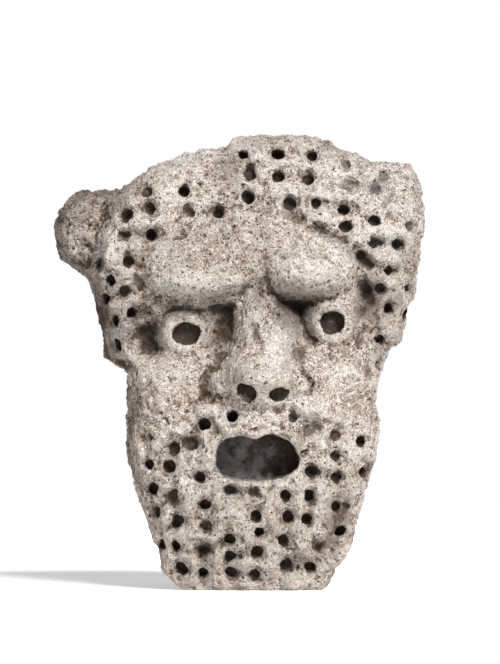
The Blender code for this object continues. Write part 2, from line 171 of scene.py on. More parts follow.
# Soil and soot on the stone, with painted shade in recesses, creases, under the nose's wings and along the side
# away from the light: x, z, half width, half height, turn and how much.
STAINS_AND_SHADE = (
    (-85, 253, 19, 25, 12, 0.8), (-98, 278, 25, 18, -30, 0.6), (-54, 288, 46, 8, -4, 0.15),
    (-13, 272, 15, 20, 0, 0.45), (-53, 278, 26, 6, 0, 0.35), (-34, 260, 9, 26, 0, 0.35),
    (-16, 238, 17, 26, -6, 0.15), (-31, 206, 8, 22, 0, 0.1), (131, 292, 18, 28, 8, 0.8),
    (148, 282, 12, 12, 0, 0.6), (58, 284, 28, 15, -18, 0.7), (45, 273, 34, 11, -48, 0.8),
    (68, 258, 10, 22, 14, 0.45), (20, 300, 13, 26, 0, 0.6), (27, 322, 7, 22, 4, 0.3),
    (26, 340, 20, 50, 0, 0.25), (92, 353, 46, 8, -28, 0.4), (124, 330, 22, 10, -38, 0.6),
    (-8, 422, 20, 24, 0, 0.5), (-14, 350, 30, 44, 0, 0.2), (-70, 326, 30, 42, 0, 0.2),
    (-110, 262, 20, 34, 10, 0.45), (-137, 274, 14, 46, 6, 0.95), (-106, 292, 16, 18, 0, 0.4),
    (-70, 236, 30, 40, 0, 0.15), (-107, 190, 8, 34, 2, 0.5), (128, 280, 22, 15, -10, 0.9),
    (-160, 370, 22, 26, 0, 0.34), (18, 256, 3, 9, -20, 0.9), (69, 212, 3, 13, 33, 0.6),
    (63, 196, 13, 3, 14, 0.45), (137, 400, 9, 8, 0, 0.8), (171, 363, 6, 7, 0, 0.4),
    (-60, 272, 24, 8, 10, 0.3), (156, 290, 12, 26, 8, 0.35), (-6, 212, 12, 10, 0, 0.18),
    (-160, 324, 24, 11, -20, 0.5), (-33, 39, 16, 18, 10, 0.7), (-62, 30, 22, 22, 0, 0.3),
    (62, 30, 34, 18, 0, 0.5), (-22, 32, 28, 14, 0, 0.4), (98, 66, 17, 48, -16, 0.65),
    (-84, 66, 12, 40, 14, 0.3), (-64, 126, 32, 30, 0, 0.28), (62, 142, 9, 16, 0, 0.5),
    (-100, 402, 26, 12, 20, 0.25), (171, 322, 10, 36, 0, 0.4), (140, 236, 10, 26, 0, 0.5),
    (-116, 306, 14, 34, 10, 0.3),
)

# Rubbed, chipped and pale places, with painted highlights on lit crests and rims and painted light where the
# nose's shadow falls, in the same way.
PALE_AND_LIT_PLACES = (
    (-56, 433, 24, 10, 14, 2.2), (-127, 338, 14, 12, 0, 0.8), (-70, 394, 9, 34, -6, 0.7),
    (-46, 380, 10, 10, 0, 0.4), (87, 394, 9, 8, 0, 0.9), (87, 373, 8, 9, 0, 0.9),
    (104, 410, 24, 26, 0, 0.85), (146, 396, 32, 34, 0, 0.6), (146, 352, 22, 16, 0, 0.9),
    (84, 368, 14, 8, -20, 0.5), (50, 388, 16, 14, 0, 0.5), (68, 330, 28, 22, 0, 0.55),
    (104, 166, 12, 9, 0, 0.5), (42, 238, 18, 30, -22, 0.85), (26, 190, 7, 14, 0, 0.8),
    (58, 190, 15, 16, 0, 0.7), (70, 177, 22, 12, 0, 1.0), (170, 380, 10, 36, 0, 0.4),
    (106, 212, 22, 20, 0, 0.6), (-44, 308, 46, 11, -3, 0.5), (50, 322, 17, 18, 0, 1.25),
    (74, 318, 20, 15, 0, 0.7), (100, 300, 22, 12, -20, 0.3), (-18, 174, 30, 11, 0, 0.5),
    (22, 168, 30, 10, 0, 0.25), (-56, 160, 16, 10, 0, 0.4), (-10, 96, 18, 11, 0, 0.5),
    (18, 264, 10, 16, 0, 0.5), (-66, 214, 24, 18, 0, 0.15), (-46, 120, 10, 18, 0, 0.3),
    (86, 90, 10, 20, 0, 0.3), (-106, 306, 10, 10, 0, 0.4), (-76, 248, 4, 12, 30, 0.6),
    (-96, 370, 16, 14, 0, 0.5), (-46, 282, 22, 6, 0, 0.2), (-42, 148, 12, 11, 0, 0.6),
    (55, 172, 9, 9, 0, 0.5), (71, 159, 9, 9, 0, 0.4), (-65, 141, 8, 8, 0, 0.3),
)

# The eyes, the mouth and the nostrils: places, half sizes and turns.
EYEBALLS = ((-53, 257), (94, 267))
EYEBALL_RADIUS = 24
EYEBALL_FORWARD = 192
EYEBALL_CURVE = 0.014
EYEBALL_EDGE = 0.85
EYEBALL_EDGE_SLOPE = 1.3
PUPILS = (((-51, 255), (14, 11.5)), ((94, 266), (12, 12)))
MOUTH_MIDDLE = (19.5, 130.5)
MOUTH_HALF_WIDTH = 41
MOUTH_ABOVE = 26
MOUTH_BELOW = 21
MOUTH_DIP = 5
NOSTRILS = (((9, 197), (12, 9.5), -50), ((40, 195), (11, 8.5), 12))
NOSTRIL_RISE = math.radians(8)

# Straight runs of drilled holes: first, last, how many, and which of them are worn shallow.
DRILL_RUNS = (
    # Beard
    ((-91, 152), (-91, 152), 1, (0,)),
    ((-91, 125), (-83, 76), 3, ()),
    ((-78, 45), (-78, 45), 1, ()),
    ((-69, 123), (-61, 69), 3, ()),
    ((-63, 44), (-57, 21), 2, ()),
    ((-38, 114), (-38, 114), 1, ()),
    ((-33, 86), (-32, 41), 3, (1, 2)),
    ((-35, 17), (-35, 17), 1, ()),
    ((-9, 100), (-9, 100), 1, ()),
    ((-9, 50), (-9, 18), 3, ()),
    ((18, 97), (18, 74), 2, (0,)),
    ((21, 58), (18, 16), 3, ()),
    ((48, 95), (50, 73), 2, ()),
    ((45, 50), (48, 24), 2, ()),
    ((74, 119), (70, 70), 3, ()),
    ((79, 44), (73, 21), 2, (0,)),
    ((98, 155), (99, 112), 3, (0,)),
    ((99, 83), (103, 59), 2, ()),
    ((125, 148), (127, 118), 2, ()),
    # Moustache
    ((-65, 141), (-47, 146), 2, ()),
    ((-34, 166), (-5, 174), 2, ()),
    ((55, 172), (71, 159), 2, (0, 1)),
    ((68, 138), (68, 138), 1, (0,)),
    # Hair over the forehead
    ((5, 435), (74, 434), 3, ()),
    ((107, 426), (109, 404), 2, (0, 1)),
    ((11, 415), (70, 410), 3, ()),
    ((137, 399), (147, 416), 2, (0, 1)),
    ((10, 390), (10, 390), 1, ()),
    ((51, 384), (77, 385), 2, ()),
    # Hair at the right
    ((105, 379), (136, 368), 2, ()),
    ((171, 363), (161, 344), 2, (0,)),
    ((107, 362), (135, 345), 2, ()),
    ((125, 332), (152, 318), 2, ()),
    ((142, 299), (171, 300), 2, (1,)),
    ((152, 279), (169, 273), 2, ()),
    ((144, 248), (142, 224), 2, (1,)),
    # Hair at the left
    ((-91, 398), (-54, 398), 2, (0,)),
    ((-88, 381), (-88, 381), 1, ()),
    ((-48, 376), (-20, 377), 2, (0,)),
    ((-113, 374), (-84, 353), 2, ()),
    ((-113, 353), (-107, 326), 2, (0,)),
    ((-141, 326), (-128, 307), 2, ()),
    ((-112, 296), (-104, 274), 2, ()),
    ((-134, 289), (-124, 267), 2, ()),
    ((-122, 244), (-122, 244), 1, ()),
)

# No two holes are alike: their widths and depths vary between these shares, and worn ones are narrower.
DRILL_GAUGES = (1.12, 1.36)
DRILL_DEPTHS = (0.85, 1.15)
WORN_NARROWER = 0.15
DRILL_SIDES = 12

# How far from its middle and how deep below the front a hole's painted shade reaches, in parts.
HOLE_REACH = 8.5
HOLE_DEEPEST = 34

# Wear all over: how deep in millimetres, the size of its lumps in metres, its seed.
GENERAL_WEAR = ((1.8, 0.028, 1), (1.1, 0.012, 2), (0.75, 0.0042, 3))
PIT_RADII = (0.0010, 0.0030)

# Hollows of three widths: rounds of averaging, and the depth in metres that counts as full.
HOLLOWS = (("fine_hollow", 4, 0.0006), ("broad_hollow", 60, 0.003), ("wide_hollow", 240, 0.010))

# The photograph's height and centre and the stone's rim, in parts; the camera's sensor in millimetres.
PHOTO_HEIGHT = 664
PHOTO_CENTRE = (12, 257)
RIM_FORWARD = 130
SENSOR = 36

# The studio, in metres: half the floor's width, and where the lights shine from.
FLOOR_HALF = 3.0
KEY_FROM = (0.95, -1.9, 1.8)
FILL_FROM = (-1.8, -2.2, 0.9)


# Plain helpers


def smooth_max(a, b, fillet):
    """The greater of two heights, rounded over where they cross."""
    share = np.clip(0.5 + 0.5 * (a - b) / fillet, 0, 1)
    return b + (a - b) * share + fillet * share * (1 - share)


def smooth_step(start, end, value):
    """0 before start, 1 after end and a smooth rise between."""
    share = np.clip((value - start) / (end - start), 0, 1)
    return share * share * (3 - 2 * share)


def bell(value, middle, width):
    """1 at the middle, falling away on both sides."""
    return np.exp(-(((value - middle) / width) ** 2))


def spread(x, z, at, half, turn=0, square=2):
    """0 at the middle of a turned oval, 1 on its edge; a higher square gives it corners."""
    cos, sin = math.cos(math.radians(turn)), math.sin(math.radians(turn))
    dx, dz = x - at[0], z - at[1]
    along = np.abs(dx * cos + dz * sin) / half[0]
    aside = np.abs(dz * cos - dx * sin) / half[1]
    return (along**square + aside**square) ** (1 / square)


def beside_line(x, z, start, end):
    """How far along a straight line points lie, as a share of it, and how far beside it."""
    run = np.subtract(end[:2], start[:2])
    share = np.clip(((x - start[0]) * run[0] + (z - start[1]) * run[1]) / (run @ run), 0, 1)
    return share, np.hypot(x - start[0] - share * run[0], z - start[1] - share * run[1])


def noise(points, lump, seed):
    """Smooth noise of about -1 to 1 with lumps of the given size, the same each run."""
    scaled = points / lump + (seed * 0.37, seed * 0.71, seed * 0.53)
    cell = np.floor(scaled).astype(np.int64)
    share = scaled - cell
    ease = share**3 * (share * (share * 6 - 15) + 10)
    total = np.zeros(len(points))
    for corner in np.ndindex(2, 2, 2):
        at = cell + corner
        code = (at[:, 0] * 73856093) ^ (at[:, 1] * 19349663) ^ (at[:, 2] * 83492791) ^ (seed * 26544357)
        code = ((code ^ (code >> 13)) * 1274126177) & 0xFFFFFFFF
        code ^= code >> 15
        away = share - corner
        slopes = (((code >> 8 * axis & 255) / 127.5 - 1) * away[:, axis] for axis in range(3))
        total += np.prod(np.where(corner, ease, 1 - ease), axis=1) * sum(slopes)
    return total * 1.5


def rough(points, lump, seed, octaves=3, loss=0.55):
    """Noise with finer noise on it."""
    return sum(noise(points, lump / 2.1**k, seed + 7 * k) * loss**k for k in range(octaves))


# The form, close to the solid's


def mouth_spread(x, z):
    """0 in the middle of the mouth and 1 on its edge: flat at the left, with a dip in the upper lip."""
    dx, dz = x - MOUTH_MIDDLE[0], z - MOUTH_MIDDLE[1]
    above = MOUTH_ABOVE - MOUTH_DIP * bell(dx, -2, 9)
    aside = np.abs(dz) / np.where(dz > 0, above, MOUTH_BELOW)
    square = np.where(dx < 0, 3.0, 2.2)
    return (np.abs(dx / MOUTH_HALF_WIDTH) ** square + aside**square) ** (1 / square)


def from_middle(x, z):
    """The direction of points from the middle, in degrees, and how far off they lie."""
    dx, dz = x - MIDDLE[0], z - MIDDLE[1]
    return np.degrees(np.arctan2(dz, dx)), np.hypot(dx, dz)


def by_direction(angle, table):
    """A value read from a table of (direction, value)."""
    return np.interp(angle % 360, [row[0] for row in table], [row[1] for row in table])


def outline_radii(wear, steps=1440):
    """How far the outline lies from the middle in each direction, averaged over some degrees of wear."""
    corners = np.array(OUTLINE, float) - MIDDLE
    share = np.linspace(0, 1, 60, endpoint=False)[:, None]
    ends = zip(corners, np.roll(corners, -1, axis=0))
    points = np.concatenate([start + (end - start) * share for start, end in ends])
    angles = np.degrees(np.arctan2(points[:, 1], points[:, 0])) % 360
    radii = np.zeros(steps)
    np.maximum.at(radii, np.round(angles / 360 * steps).astype(int) % steps, np.hypot(*points.T))
    grid = np.arange(steps) * 360 / steps
    met = radii > 0
    radii = np.interp(grid, grid[met], radii[met], period=360)
    reach = round(wear / 360 * steps)
    window = np.hanning(2 * reach + 1)
    wrapped = np.concatenate([radii[-reach:], radii, radii[:reach]])
    return grid, np.convolve(wrapped, window / window.sum(), "valid")


WORN_OUTLINE = outline_radii(CORNER_WEAR)
ROUND_OUTLINE = outline_radii(CROWN_WEAR)


def outline_radius(angle, outline=WORN_OUTLINE):
    return np.interp(angle % 360, *outline, period=360)


class Relief:
    """How far forward of the back the front lies, at points seen from the front, all in parts."""

    def __init__(self, x, z):
        self.x, self.z = x, z
        self.forward = np.zeros_like(x)

    def mound(self, at, half, foot, crest, turn=0, fullness=2.0, fillet=8):
        """An oval mass that rises from foot, at its edge, to crest."""
        share = 1 - spread(self.x, self.z, at, half, turn) ** fullness
        self.forward = smooth_max(self.forward, foot + (crest - foot) * share, fillet)

    def hollow(self, at, half, floor, lip, turn=0, fullness=2.0, fillet=6, square=2):
        """An oval hollow that falls from lip, at its edge, to floor."""
        share = spread(self.x, self.z, at, half, turn, square) ** fullness
        self.forward = -smooth_max(-self.forward, -(floor + (lip - floor) * share), fillet)

    def ridge(self, stations, foot, fullness, fillet, soft=5):
        """A mass along a line of stations: height, middle, half width and how far forward."""
        heights, *columns = (np.array(column, float) for column in zip(*sorted(stations)))
        shifts = np.linspace(-soft, soft, 5)
        middle, half, crest = (
            np.mean([np.interp(self.z + shift, heights, column) for shift in shifts], axis=0)
            for column in columns
        )
        body = foot + (crest - foot) * (1 - np.abs((self.x - middle) / half) ** fullness)
        body = np.where((self.z < heights[0]) | (self.z > heights[-1]), 0, np.maximum(body, 0))
        self.forward = smooth_max(self.forward, body, fillet)

    def channel(self, stations, fullness=1.5):
        """A channel along a path of stations: x, z, half width, depth."""
        cut = np.zeros_like(self.forward)
        for start, end in zip(stations, stations[1:]):
            share, away = beside_line(self.x, self.z, start, end)
            half = start[2] + (end[2] - start[2]) * share
            depth = start[3] + (end[3] - start[3]) * share
            cut = np.maximum(cut, depth * np.clip(1 - (away / half) ** 2, 0, 1) ** fullness)
        self.forward = self.forward - cut

    def groove(self, start, end, width, depth):
        """A groove with soft sides along a straight line."""
        self.forward = self.forward - depth * bell(beside_line(self.x, self.z, start, end)[1], 0, width)


def lay_ground(relief):
    """The block's domed front: a worn shoulder inside the outline, and a low crown."""
    angle, radius = from_middle(relief.x, relief.z)
    edge = by_direction(angle, EDGE_FORWARD)
    shoulder = by_direction(angle, SHOULDER_FORWARD)
    crown = CROWN_FOOT + CROWN_RISE * (1 - np.clip(radius / CROWN_RADIUS, 0, 1) ** 2)
    near = np.clip((outline_radius(angle) - radius) / SHOULDER_WIDTH, 0, 1)
    far = np.clip((outline_radius(angle, ROUND_OUTLINE) - radius) / CROWN_WIDTH, 0, 1)
    relief.forward = edge + (shoulder - edge) * (1 - (1 - near) ** 2) ** SHOULDER_ROUNDING
    relief.forward += (crown - shoulder) * (1 - (1 - far) ** 2)


def stump_share(x, z):
    """1 on the broken stump of hair at the left, 0 elsewhere."""
    start = STUMP_OUTWARDS[0] - STUMP_FARTHER_IN * smooth_step(*STUMP_FARTHER_BETWEEN, z)
    outwards = STUMP_LEAN * (z - STUMP_UPRIGHT_AT) - x
    return smooth_step(start, STUMP_OUTWARDS[1], outwards) * smooth_step(*STUMP_UPWARDS, z)


def raise_hair(relief):
    """The hair stands proud of the forehead, and drops to the broken stump at the left."""
    dx = np.abs(relief.x - HAIRLINE_MIDDLE[0]) / HAIRLINE_HALF[0]
    dz = np.abs(relief.z - HAIRLINE_MIDDLE[1]) / HAIRLINE_HALF[1]
    square = np.where(relief.x < HAIRLINE_MIDDLE[0], *HAIRLINE_SQUARE)
    hairline = (dx**square + dz**square) ** (1 / square)
    step = 0.2 - 0.15 * smooth_step(0, 70, relief.x)
    hair = smooth_step(0.97, 0.97 + step, hairline)
    height = HAIR_HEIGHT * (0.45 + 0.55 * smooth_step(20, 90, np.abs(relief.x - 10)))
    relief.forward += smooth_step(*HAIR_ENDS_BETWEEN, relief.z) * height * (hair - 1 / 3)
    relief.forward -= STUMP_DROP * stump_share(relief.x, relief.z)


def model_cheeks_and_beard(relief):
    relief.mound((-66, 206), (46, 44), foot=160, crest=187, fillet=16)
    relief.mound((106, 216), (42, 44), foot=158, crest=185, fillet=16)
    relief.mound((20, 110), (100, 110), foot=168, crest=203, fullness=2.4, fillet=18)
    relief.mound((21, 160), (66, 42), foot=172, crest=204, fillet=14)


def model_brows(relief):
    """Two swelling brows that run up into the forehead."""
    relief.mound((20, 342), (112, 52), foot=170, crest=204, fullness=3, fillet=14)
    relief.mound((-44, 320), (66, 42), foot=176, crest=213, turn=-5, fullness=2.2, fillet=10)
    relief.mound((82, 328), (60, 42), foot=176, crest=211, turn=10, fullness=2.2, fillet=10)
    relief.mound((16, 325), (20, 40), foot=170, crest=193, fillet=8)


def cut_sockets(relief):
    """The sockets, cut in sharply under the brows, and the temples outside them."""
    relief.hollow((-50, 262), (60, 27), floor=178, lip=200, turn=-3, fullness=3.5, fillet=6, square=2.6)
    relief.hollow((84, 270), (48, 26), floor=179, lip=200, turn=9, fullness=3.5, fillet=8, square=2.4)
    relief.channel(LEFT_TEMPLE)
    relief.channel(RIGHT_TEMPLE)


def model_nose(relief):
    relief.ridge(NOSE, foot=160, fullness=2.1, fillet=7)
    relief.mound((40, 256), (34, 46), foot=162, crest=200, turn=16, fillet=14)
    relief.mound((-15, 204), (18, 19), foot=178, crest=205, turn=20, fullness=2.4, fillet=12)
    relief.mound((60, 208), (17, 19), foot=178, crest=205, turn=-20, fullness=2.4, fillet=12)


def cut_inner_corners(relief):
    """A recess beside the root of the nose at the left, and a long crease down to the eye at the right."""
    from_right = (RECESS_CORNER[0] - relief.x) / RECESS_SIZE[0]
    from_top = (RECESS_CORNER[1] - relief.z) / RECESS_SIZE[1]
    sharp = smooth_step(0, RECESS_EDGES[0], from_right) * smooth_step(0, RECESS_EDGES[1], from_top)
    fade = np.clip(1 - from_right, 0, 1) ** RECESS_FADES[0] * np.clip(1 - from_top, 0, 1) ** RECESS_FADES[1]
    relief.forward = relief.forward - RECESS_DEPTH * sharp * fade
    relief.hollow((60, 281), (25, 15), floor=168, lip=194, turn=-22, fillet=12)
    relief.channel(LEFT_FLANK)
    relief.channel(RIGHT_CREASE)


def model_eyeballs(relief):
    """Two low balls, each with a faint ring round its pupil."""
    for at in EYEBALLS:
        radius = np.hypot(relief.x - at[0], relief.z - at[1])
        past_edge = np.clip(radius - EYEBALL_EDGE * EYEBALL_RADIUS, 0, None)
        ball = EYEBALL_FORWARD - EYEBALL_CURVE * radius**2 - EYEBALL_EDGE_SLOPE * past_edge
        relief.forward = smooth_max(relief.forward, ball, 7)
        relief.forward += 0.5 * bell(radius, 18, 3)


def model_lips(relief):
    """A narrow rim round the mouth, stronger above it, with a groove outside it."""
    around = mouth_spread(relief.x, relief.z)
    upper = smooth_step(118, 135, relief.z)
    relief.forward += (1.5 + 3 * upper) * bell(around, 1.17, 0.10) - 2 * upper * bell(around, 1.42, 0.08)


def carve(x, z):
    """The whole front of the head: how far forward of the back it lies, in parts."""
    relief = Relief(np.asarray(x, float), np.asarray(z, float))
    for step in (
        lay_ground,
        raise_hair,
        model_cheeks_and_beard,
        model_brows,
        cut_sockets,
        model_nose,
        cut_inner_corners,
        model_eyeballs,
        model_lips,
    ):
        step(relief)
    return relief.forward


def place(x, z, forward):
    """Carver's points, in parts, as places in metres."""
    return np.stack([x * PART, HIGH.y - forward * PART, z * PART + LOW.z], axis=-1)


def carver(points):
    """Places in metres as the carver's x, z and forward, in parts."""
    return points[:, 0] / PART, (points[:, 2] - LOW.z) / PART, (HIGH.y - points[:, 1]) / PART


def drill_holes():
    """Every drilled hole: its x, its z, and 1 where it is worn."""
    holes = []
    for first, last, count, worn in DRILL_RUNS:
        for number in range(count):
            share = number / max(count - 1, 1)
            x = first[0] + (last[0] - first[0]) * share
            z = first[1] + (last[1] - first[1]) * share
            holes.append((x, z, float(number in worn)))
    return np.array(holes)


def drill_directions(x, z, lean=0.5, reach=3):
    """The way a drill held at each point on the front points in, part turned to the surface."""
    slope_x = (carve(x + reach, z) - carve(x - reach, z)) / (2 * reach)
    slope_z = (carve(x, z + reach) - carve(x, z - reach)) / (2 * reach)
    outward = np.stack([-slope_x, -np.ones_like(x), -slope_z], axis=1)
    outward /= np.linalg.norm(outward, axis=1, keepdims=True)
    inward = -(outward * lean + np.array((0, -1, 0)) * (1 - lean))
    return inward / np.linalg.norm(inward, axis=1, keepdims=True)


# The fine surface


def read_array(collection, key, width=1, kind=np.float32):
    """One value or row of values for each item of a mesh's collection."""
    values = np.empty(len(collection) * width, kind)
    collection.foreach_get(key, values)
    return values.reshape(-1, width)


def read_points(mesh):
    return read_array(mesh.vertices, "co", 3).astype(float)


def write_points(mesh, points):
    mesh.vertices.foreach_set("co", points.astype(np.float32).ravel())
    mesh.update()


def read_normals(mesh):
    return read_array(mesh.vertex_normals, "vector", 3).astype(float)


def read_edges(mesh):
    """The points at one end and at the other end of each edge."""
    return read_array(mesh.edges, "vertices", 2, np.int32).T


def average_over_neighbours(mesh, values, rounds, share=0.5):
    """Values at a mesh's points, each drawn towards the mean of its neighbours' values."""
    one, other = read_edges(mesh)
    count = len(values)
    degree = np.maximum(np.bincount(one, minlength=count) + np.bincount(other, minlength=count), 1)
    columns = values.reshape(count, -1).T.copy()
    for _ in range(rounds):
        for column in columns:
            total = np.bincount(one, column[other], count) + np.bincount(other, column[one], count)
            column += share * (total / degree - column)
    return columns.T.reshape(values.shape)


def set_attribute(mesh, name, values, kind="FLOAT", key="value"):
    attribute = mesh.attributes.new(name, kind, "POINT")
    attribute.data.foreach_set(key, values.astype(np.float32).ravel())


def mesh_object(name, points, faces=()):
    mesh = bpy.data.meshes.new(name)
    mesh.from_pydata(points, [], faces)
    return object_of(name, mesh)


def object_of(name, data):
    made = bpy.data.objects.new(name, data)
    bpy.context.scene.collection.objects.link(made)
    return made


def discard(thing):
    mesh = thing.data
    bpy.data.objects.remove(thing)
    bpy.data.meshes.remove(mesh)


def apply_modifiers(thing):
    """Leaves a thing with the plain mesh that its modifiers make of it."""
    graph, old = bpy.context.evaluated_depsgraph_get(), thing.data
    made = bpy.data.meshes.new_from_object(thing.evaluated_get(graph))
    thing.modifiers.clear()
    thing.data = made
    bpy.data.meshes.remove(old)


def sharpen_face(relief):
    """Fuller brows with hollow undersides, and creases round the lids and the nose."""
    relief.mound((-40, 312), (52, 25), foot=190, crest=217, turn=-3, fullness=2.6, fillet=6)
    relief.mound((71, 318), (42, 27), foot=188, crest=218, turn=6, fullness=2.4, fillet=6)
    relief.mound((32, 240), (18, 30), foot=205, crest=227, turn=-16, fillet=8)
    relief.mound((113, 277), (28, 24), foot=174, crest=191, fillet=12)
    relief.mound((0, 173), (48, 23), foot=183, crest=206, fillet=16)
    relief.mound((60, 188), (30, 22), foot=182, crest=202, fillet=14)
    for stations in (
        LEFT_BROW_UNDERSIDE,
        LEFT_BROW_NOTCH,
        RIGHT_BROW_UNDERSIDE,
        RIGHT_HAIRLINE,
        LEFT_LID,
        NOSE_RIGHT_CREASE,
        NOSE_LEFT_CREASE,
    ):
        relief.channel(stations)


def dimple_hair(relief, reach=10.5, depth=6.8, worn_depth=5.5, tuft=5.8, near=30, groove_depth=6.5, joined=0.6):
    """Worn curls: the stone dips round each hole, swells in tufts, and grooves join a share of the neighbours."""
    holes = drill_holes()
    dip = np.zeros_like(relief.x)
    for x, z, worn in holes:
        most = worn_depth if worn else depth
        dip = np.maximum(dip, most * bell(np.hypot(relief.x - x, relief.z - z), 0, reach))
    relief.forward = relief.forward - dip
    flat = np.stack([relief.x, np.zeros_like(relief.x), relief.z], axis=-1).reshape(-1, 3)
    nearest = np.min([np.hypot(relief.x - x, relief.z - z) for x, z, _ in holes], axis=0)
    tufts = rough(flat, 16, 51, 2).reshape(relief.x.shape) * smooth_step(32, 20, nearest)
    relief.forward = relief.forward + tuft * tufts
    chosen = np.random.default_rng(11)
    gap = np.hypot(holes[:, None, 0] - holes[None, :, 0], holes[:, None, 1] - holes[None, :, 1])
    for a, b in zip(*np.nonzero((gap < near) & (gap > 0))):
        if a < b and chosen.random() < joined:
            relief.groove(holes[a, :2], holes[b, :2], width=5, depth=groove_depth * chosen.uniform(0.2, 1))


def scratch_nose(relief):
    """Two old cuts on the ridge of the nose."""
    relief.groove((15, 264), (21, 249), width=3, depth=5.5)
    relief.groove((10, 268), (17, 258), width=2.5, depth=3)


def chip_edges(relief):
    """Chips along the top edge, and the lower lip worn in."""
    relief.hollow((-62, 432), (20, 8), floor=140, lip=168, turn=24, fullness=1.5)
    relief.hollow((90, 449), (13, 9), floor=118, lip=166, turn=-20, fullness=1.5)
    relief.hollow((-12, 447), (7, 9), floor=124, lip=166, fullness=1.5)
    lower = smooth_step(128, 112, relief.z)
    relief.forward = relief.forward - 5 * lower * bell(mouth_spread(relief.x, relief.z), 1.0, 0.12)


def worn_front(x, z):
    """The front with what wear and the drill did to it, too fine for the solid."""
    relief = Relief(x, z)
    relief.forward = carve(x, z)
    sharpen_face(relief)
    dimple_hair(relief)
    scratch_nose(relief)
    chip_edges(relief)
    return relief.forward


def rising_share(x, z):
    """1 where a ring of points faces up or sideways, 0 where it faces down, so that no underside shows."""
    reach = UNDERSIDE_REACH
    along_x, along_z = (np.roll(values, -reach) - np.roll(values, reach) for values in (x, z))
    clockwise = np.sign(np.sum(x * np.roll(z, 1) - np.roll(x, 1) * z))
    facing = clockwise * along_x / np.maximum(np.hypot(along_x, along_z), 1e-9)
    return smooth_step(-0.35, 0.15, facing)


def around_ring(values, reach):
    """Values round a ring, each averaged with its neighbours on both sides."""
    soft = np.hanning(2 * reach + 1)
    return np.convolve(np.concatenate([values[-reach:], values, values[:reach]]), soft / soft.sum(), "valid")


def block(steps):
    """The carved front on a grid, the sides behind it and the flat back, as points and faces."""
    side = np.linspace(-1, 1, steps + 1)
    u, v = np.meshgrid(side, side, indexing="ij")
    disc_x, disc_z = u * np.sqrt(1 - v**2 / 2), v * np.sqrt(1 - u**2 / 2)
    angle = np.degrees(np.arctan2(disc_z, disc_x))
    radius = np.hypot(disc_x, disc_z) * outline_radius(angle)
    x = MIDDLE[0] + radius * np.cos(np.radians(angle))
    z = MIDDLE[1] + radius * np.sin(np.radians(angle))
    z = np.where(z < 1, 0, z)
    forward = worn_front(x, z)

    index = np.arange(x.size).reshape(x.shape)
    quads = np.stack([index[:-1, :-1], index[1:, :-1], index[1:, 1:], index[:-1, 1:]], axis=-1)
    points, faces = [place(x, z, forward).reshape(-1, 3)], quads.reshape(-1, 4).tolist()
    ring = np.concatenate([index[:-1, 0], index[-1, :-1], index[:0:-1, -1], index[0, :0:-1]])
    rim_x, rim_z, rim_forward = (values.ravel()[ring] for values in (x, z, forward))
    upward = around_ring(rising_share(rim_x, rim_z), UNDERSIDE_REACH)
    smooth_x, smooth_z = around_ring(rim_x, SIDES_REACH), around_ring(rim_z, SIDES_REACH)
    for share in np.linspace(1, 0, steps // 4)[1:]:
        narrower, softer = BACK_TAPER * (1 - share), smooth_step(1, 0.4, share)
        ring_x, ring_z = rim_x + (smooth_x - rim_x) * softer, rim_z + (smooth_z - rim_z) * softer
        behind_x = MIDDLE[0] + (ring_x - MIDDLE[0]) * (1 - narrower)
        behind_z = np.where(rim_z == 0, 0, ring_z * (1 - narrower * upward))
        new_ring = np.arange(len(ring)) + sum(map(len, points))
        faces += np.stack([ring, new_ring, np.roll(new_ring, -1), np.roll(ring, -1)], axis=-1).tolist()
        points.append(place(behind_x, behind_z, rim_forward * share))
        ring = new_ring
    faces.append(ring[::-1].tolist())
    return np.concatenate(points), faces


def plugs(name, outlines):
    """Closed plugs that cut hollows: each has an outline on the surface, a depth and the way it points in."""
    bm = bmesh.new()
    for outline, depth, inward in outlines:
        outer = [bm.verts.new(Vector(point) - inward * depth) for point in outline]
        inner = [bm.verts.new(Vector(point) + inward * depth) for point in outline]
        bm.faces.new(outer)
        bm.faces.new(inner)
        for k, corner in enumerate(outer):
            after = (k + 1) % len(outer)
            bm.faces.new((corner, outer[after], inner[after], inner[k]))
    bmesh.ops.recalc_face_normals(bm, faces=bm.faces)
    mesh = bpy.data.meshes.new(name)
    bm.to_mesh(mesh)
    bm.free()
    return object_of(name, mesh)


def as_far_forward(at, x, z):
    """Points at x and z, all as far forward as the front lies at one place, in metres."""
    return place(x, z, np.full(len(x), carve([at[0]], [at[1]])[0]))


def oval(at, half, turn, sides=32):
    """The outline of a turned oval on the front, in metres."""
    angles = np.linspace(0, math.tau, sides, endpoint=False)
    along, aside = half[0] * np.cos(angles), half[1] * np.sin(angles)
    cos, sin = math.cos(math.radians(turn)), math.sin(math.radians(turn))
    return as_far_forward(at, at[0] + along * cos - aside * sin, at[1] + along * sin + aside * cos)


def mouth_outline(sides=72, rounds=9):
    """The outline of the open mouth, drawn closer in rounds to where mouth_spread is 1, in metres."""
    angles = np.linspace(0, math.tau, sides, endpoint=False)
    radius = np.full(sides, 30.0)
    for _ in range(rounds):
        x, z = MOUTH_MIDDLE[0] + radius * np.cos(angles), MOUTH_MIDDLE[1] + radius * np.sin(angles)
        radius /= mouth_spread(x, z)
    return as_far_forward(MOUTH_MIDDLE, x, z)


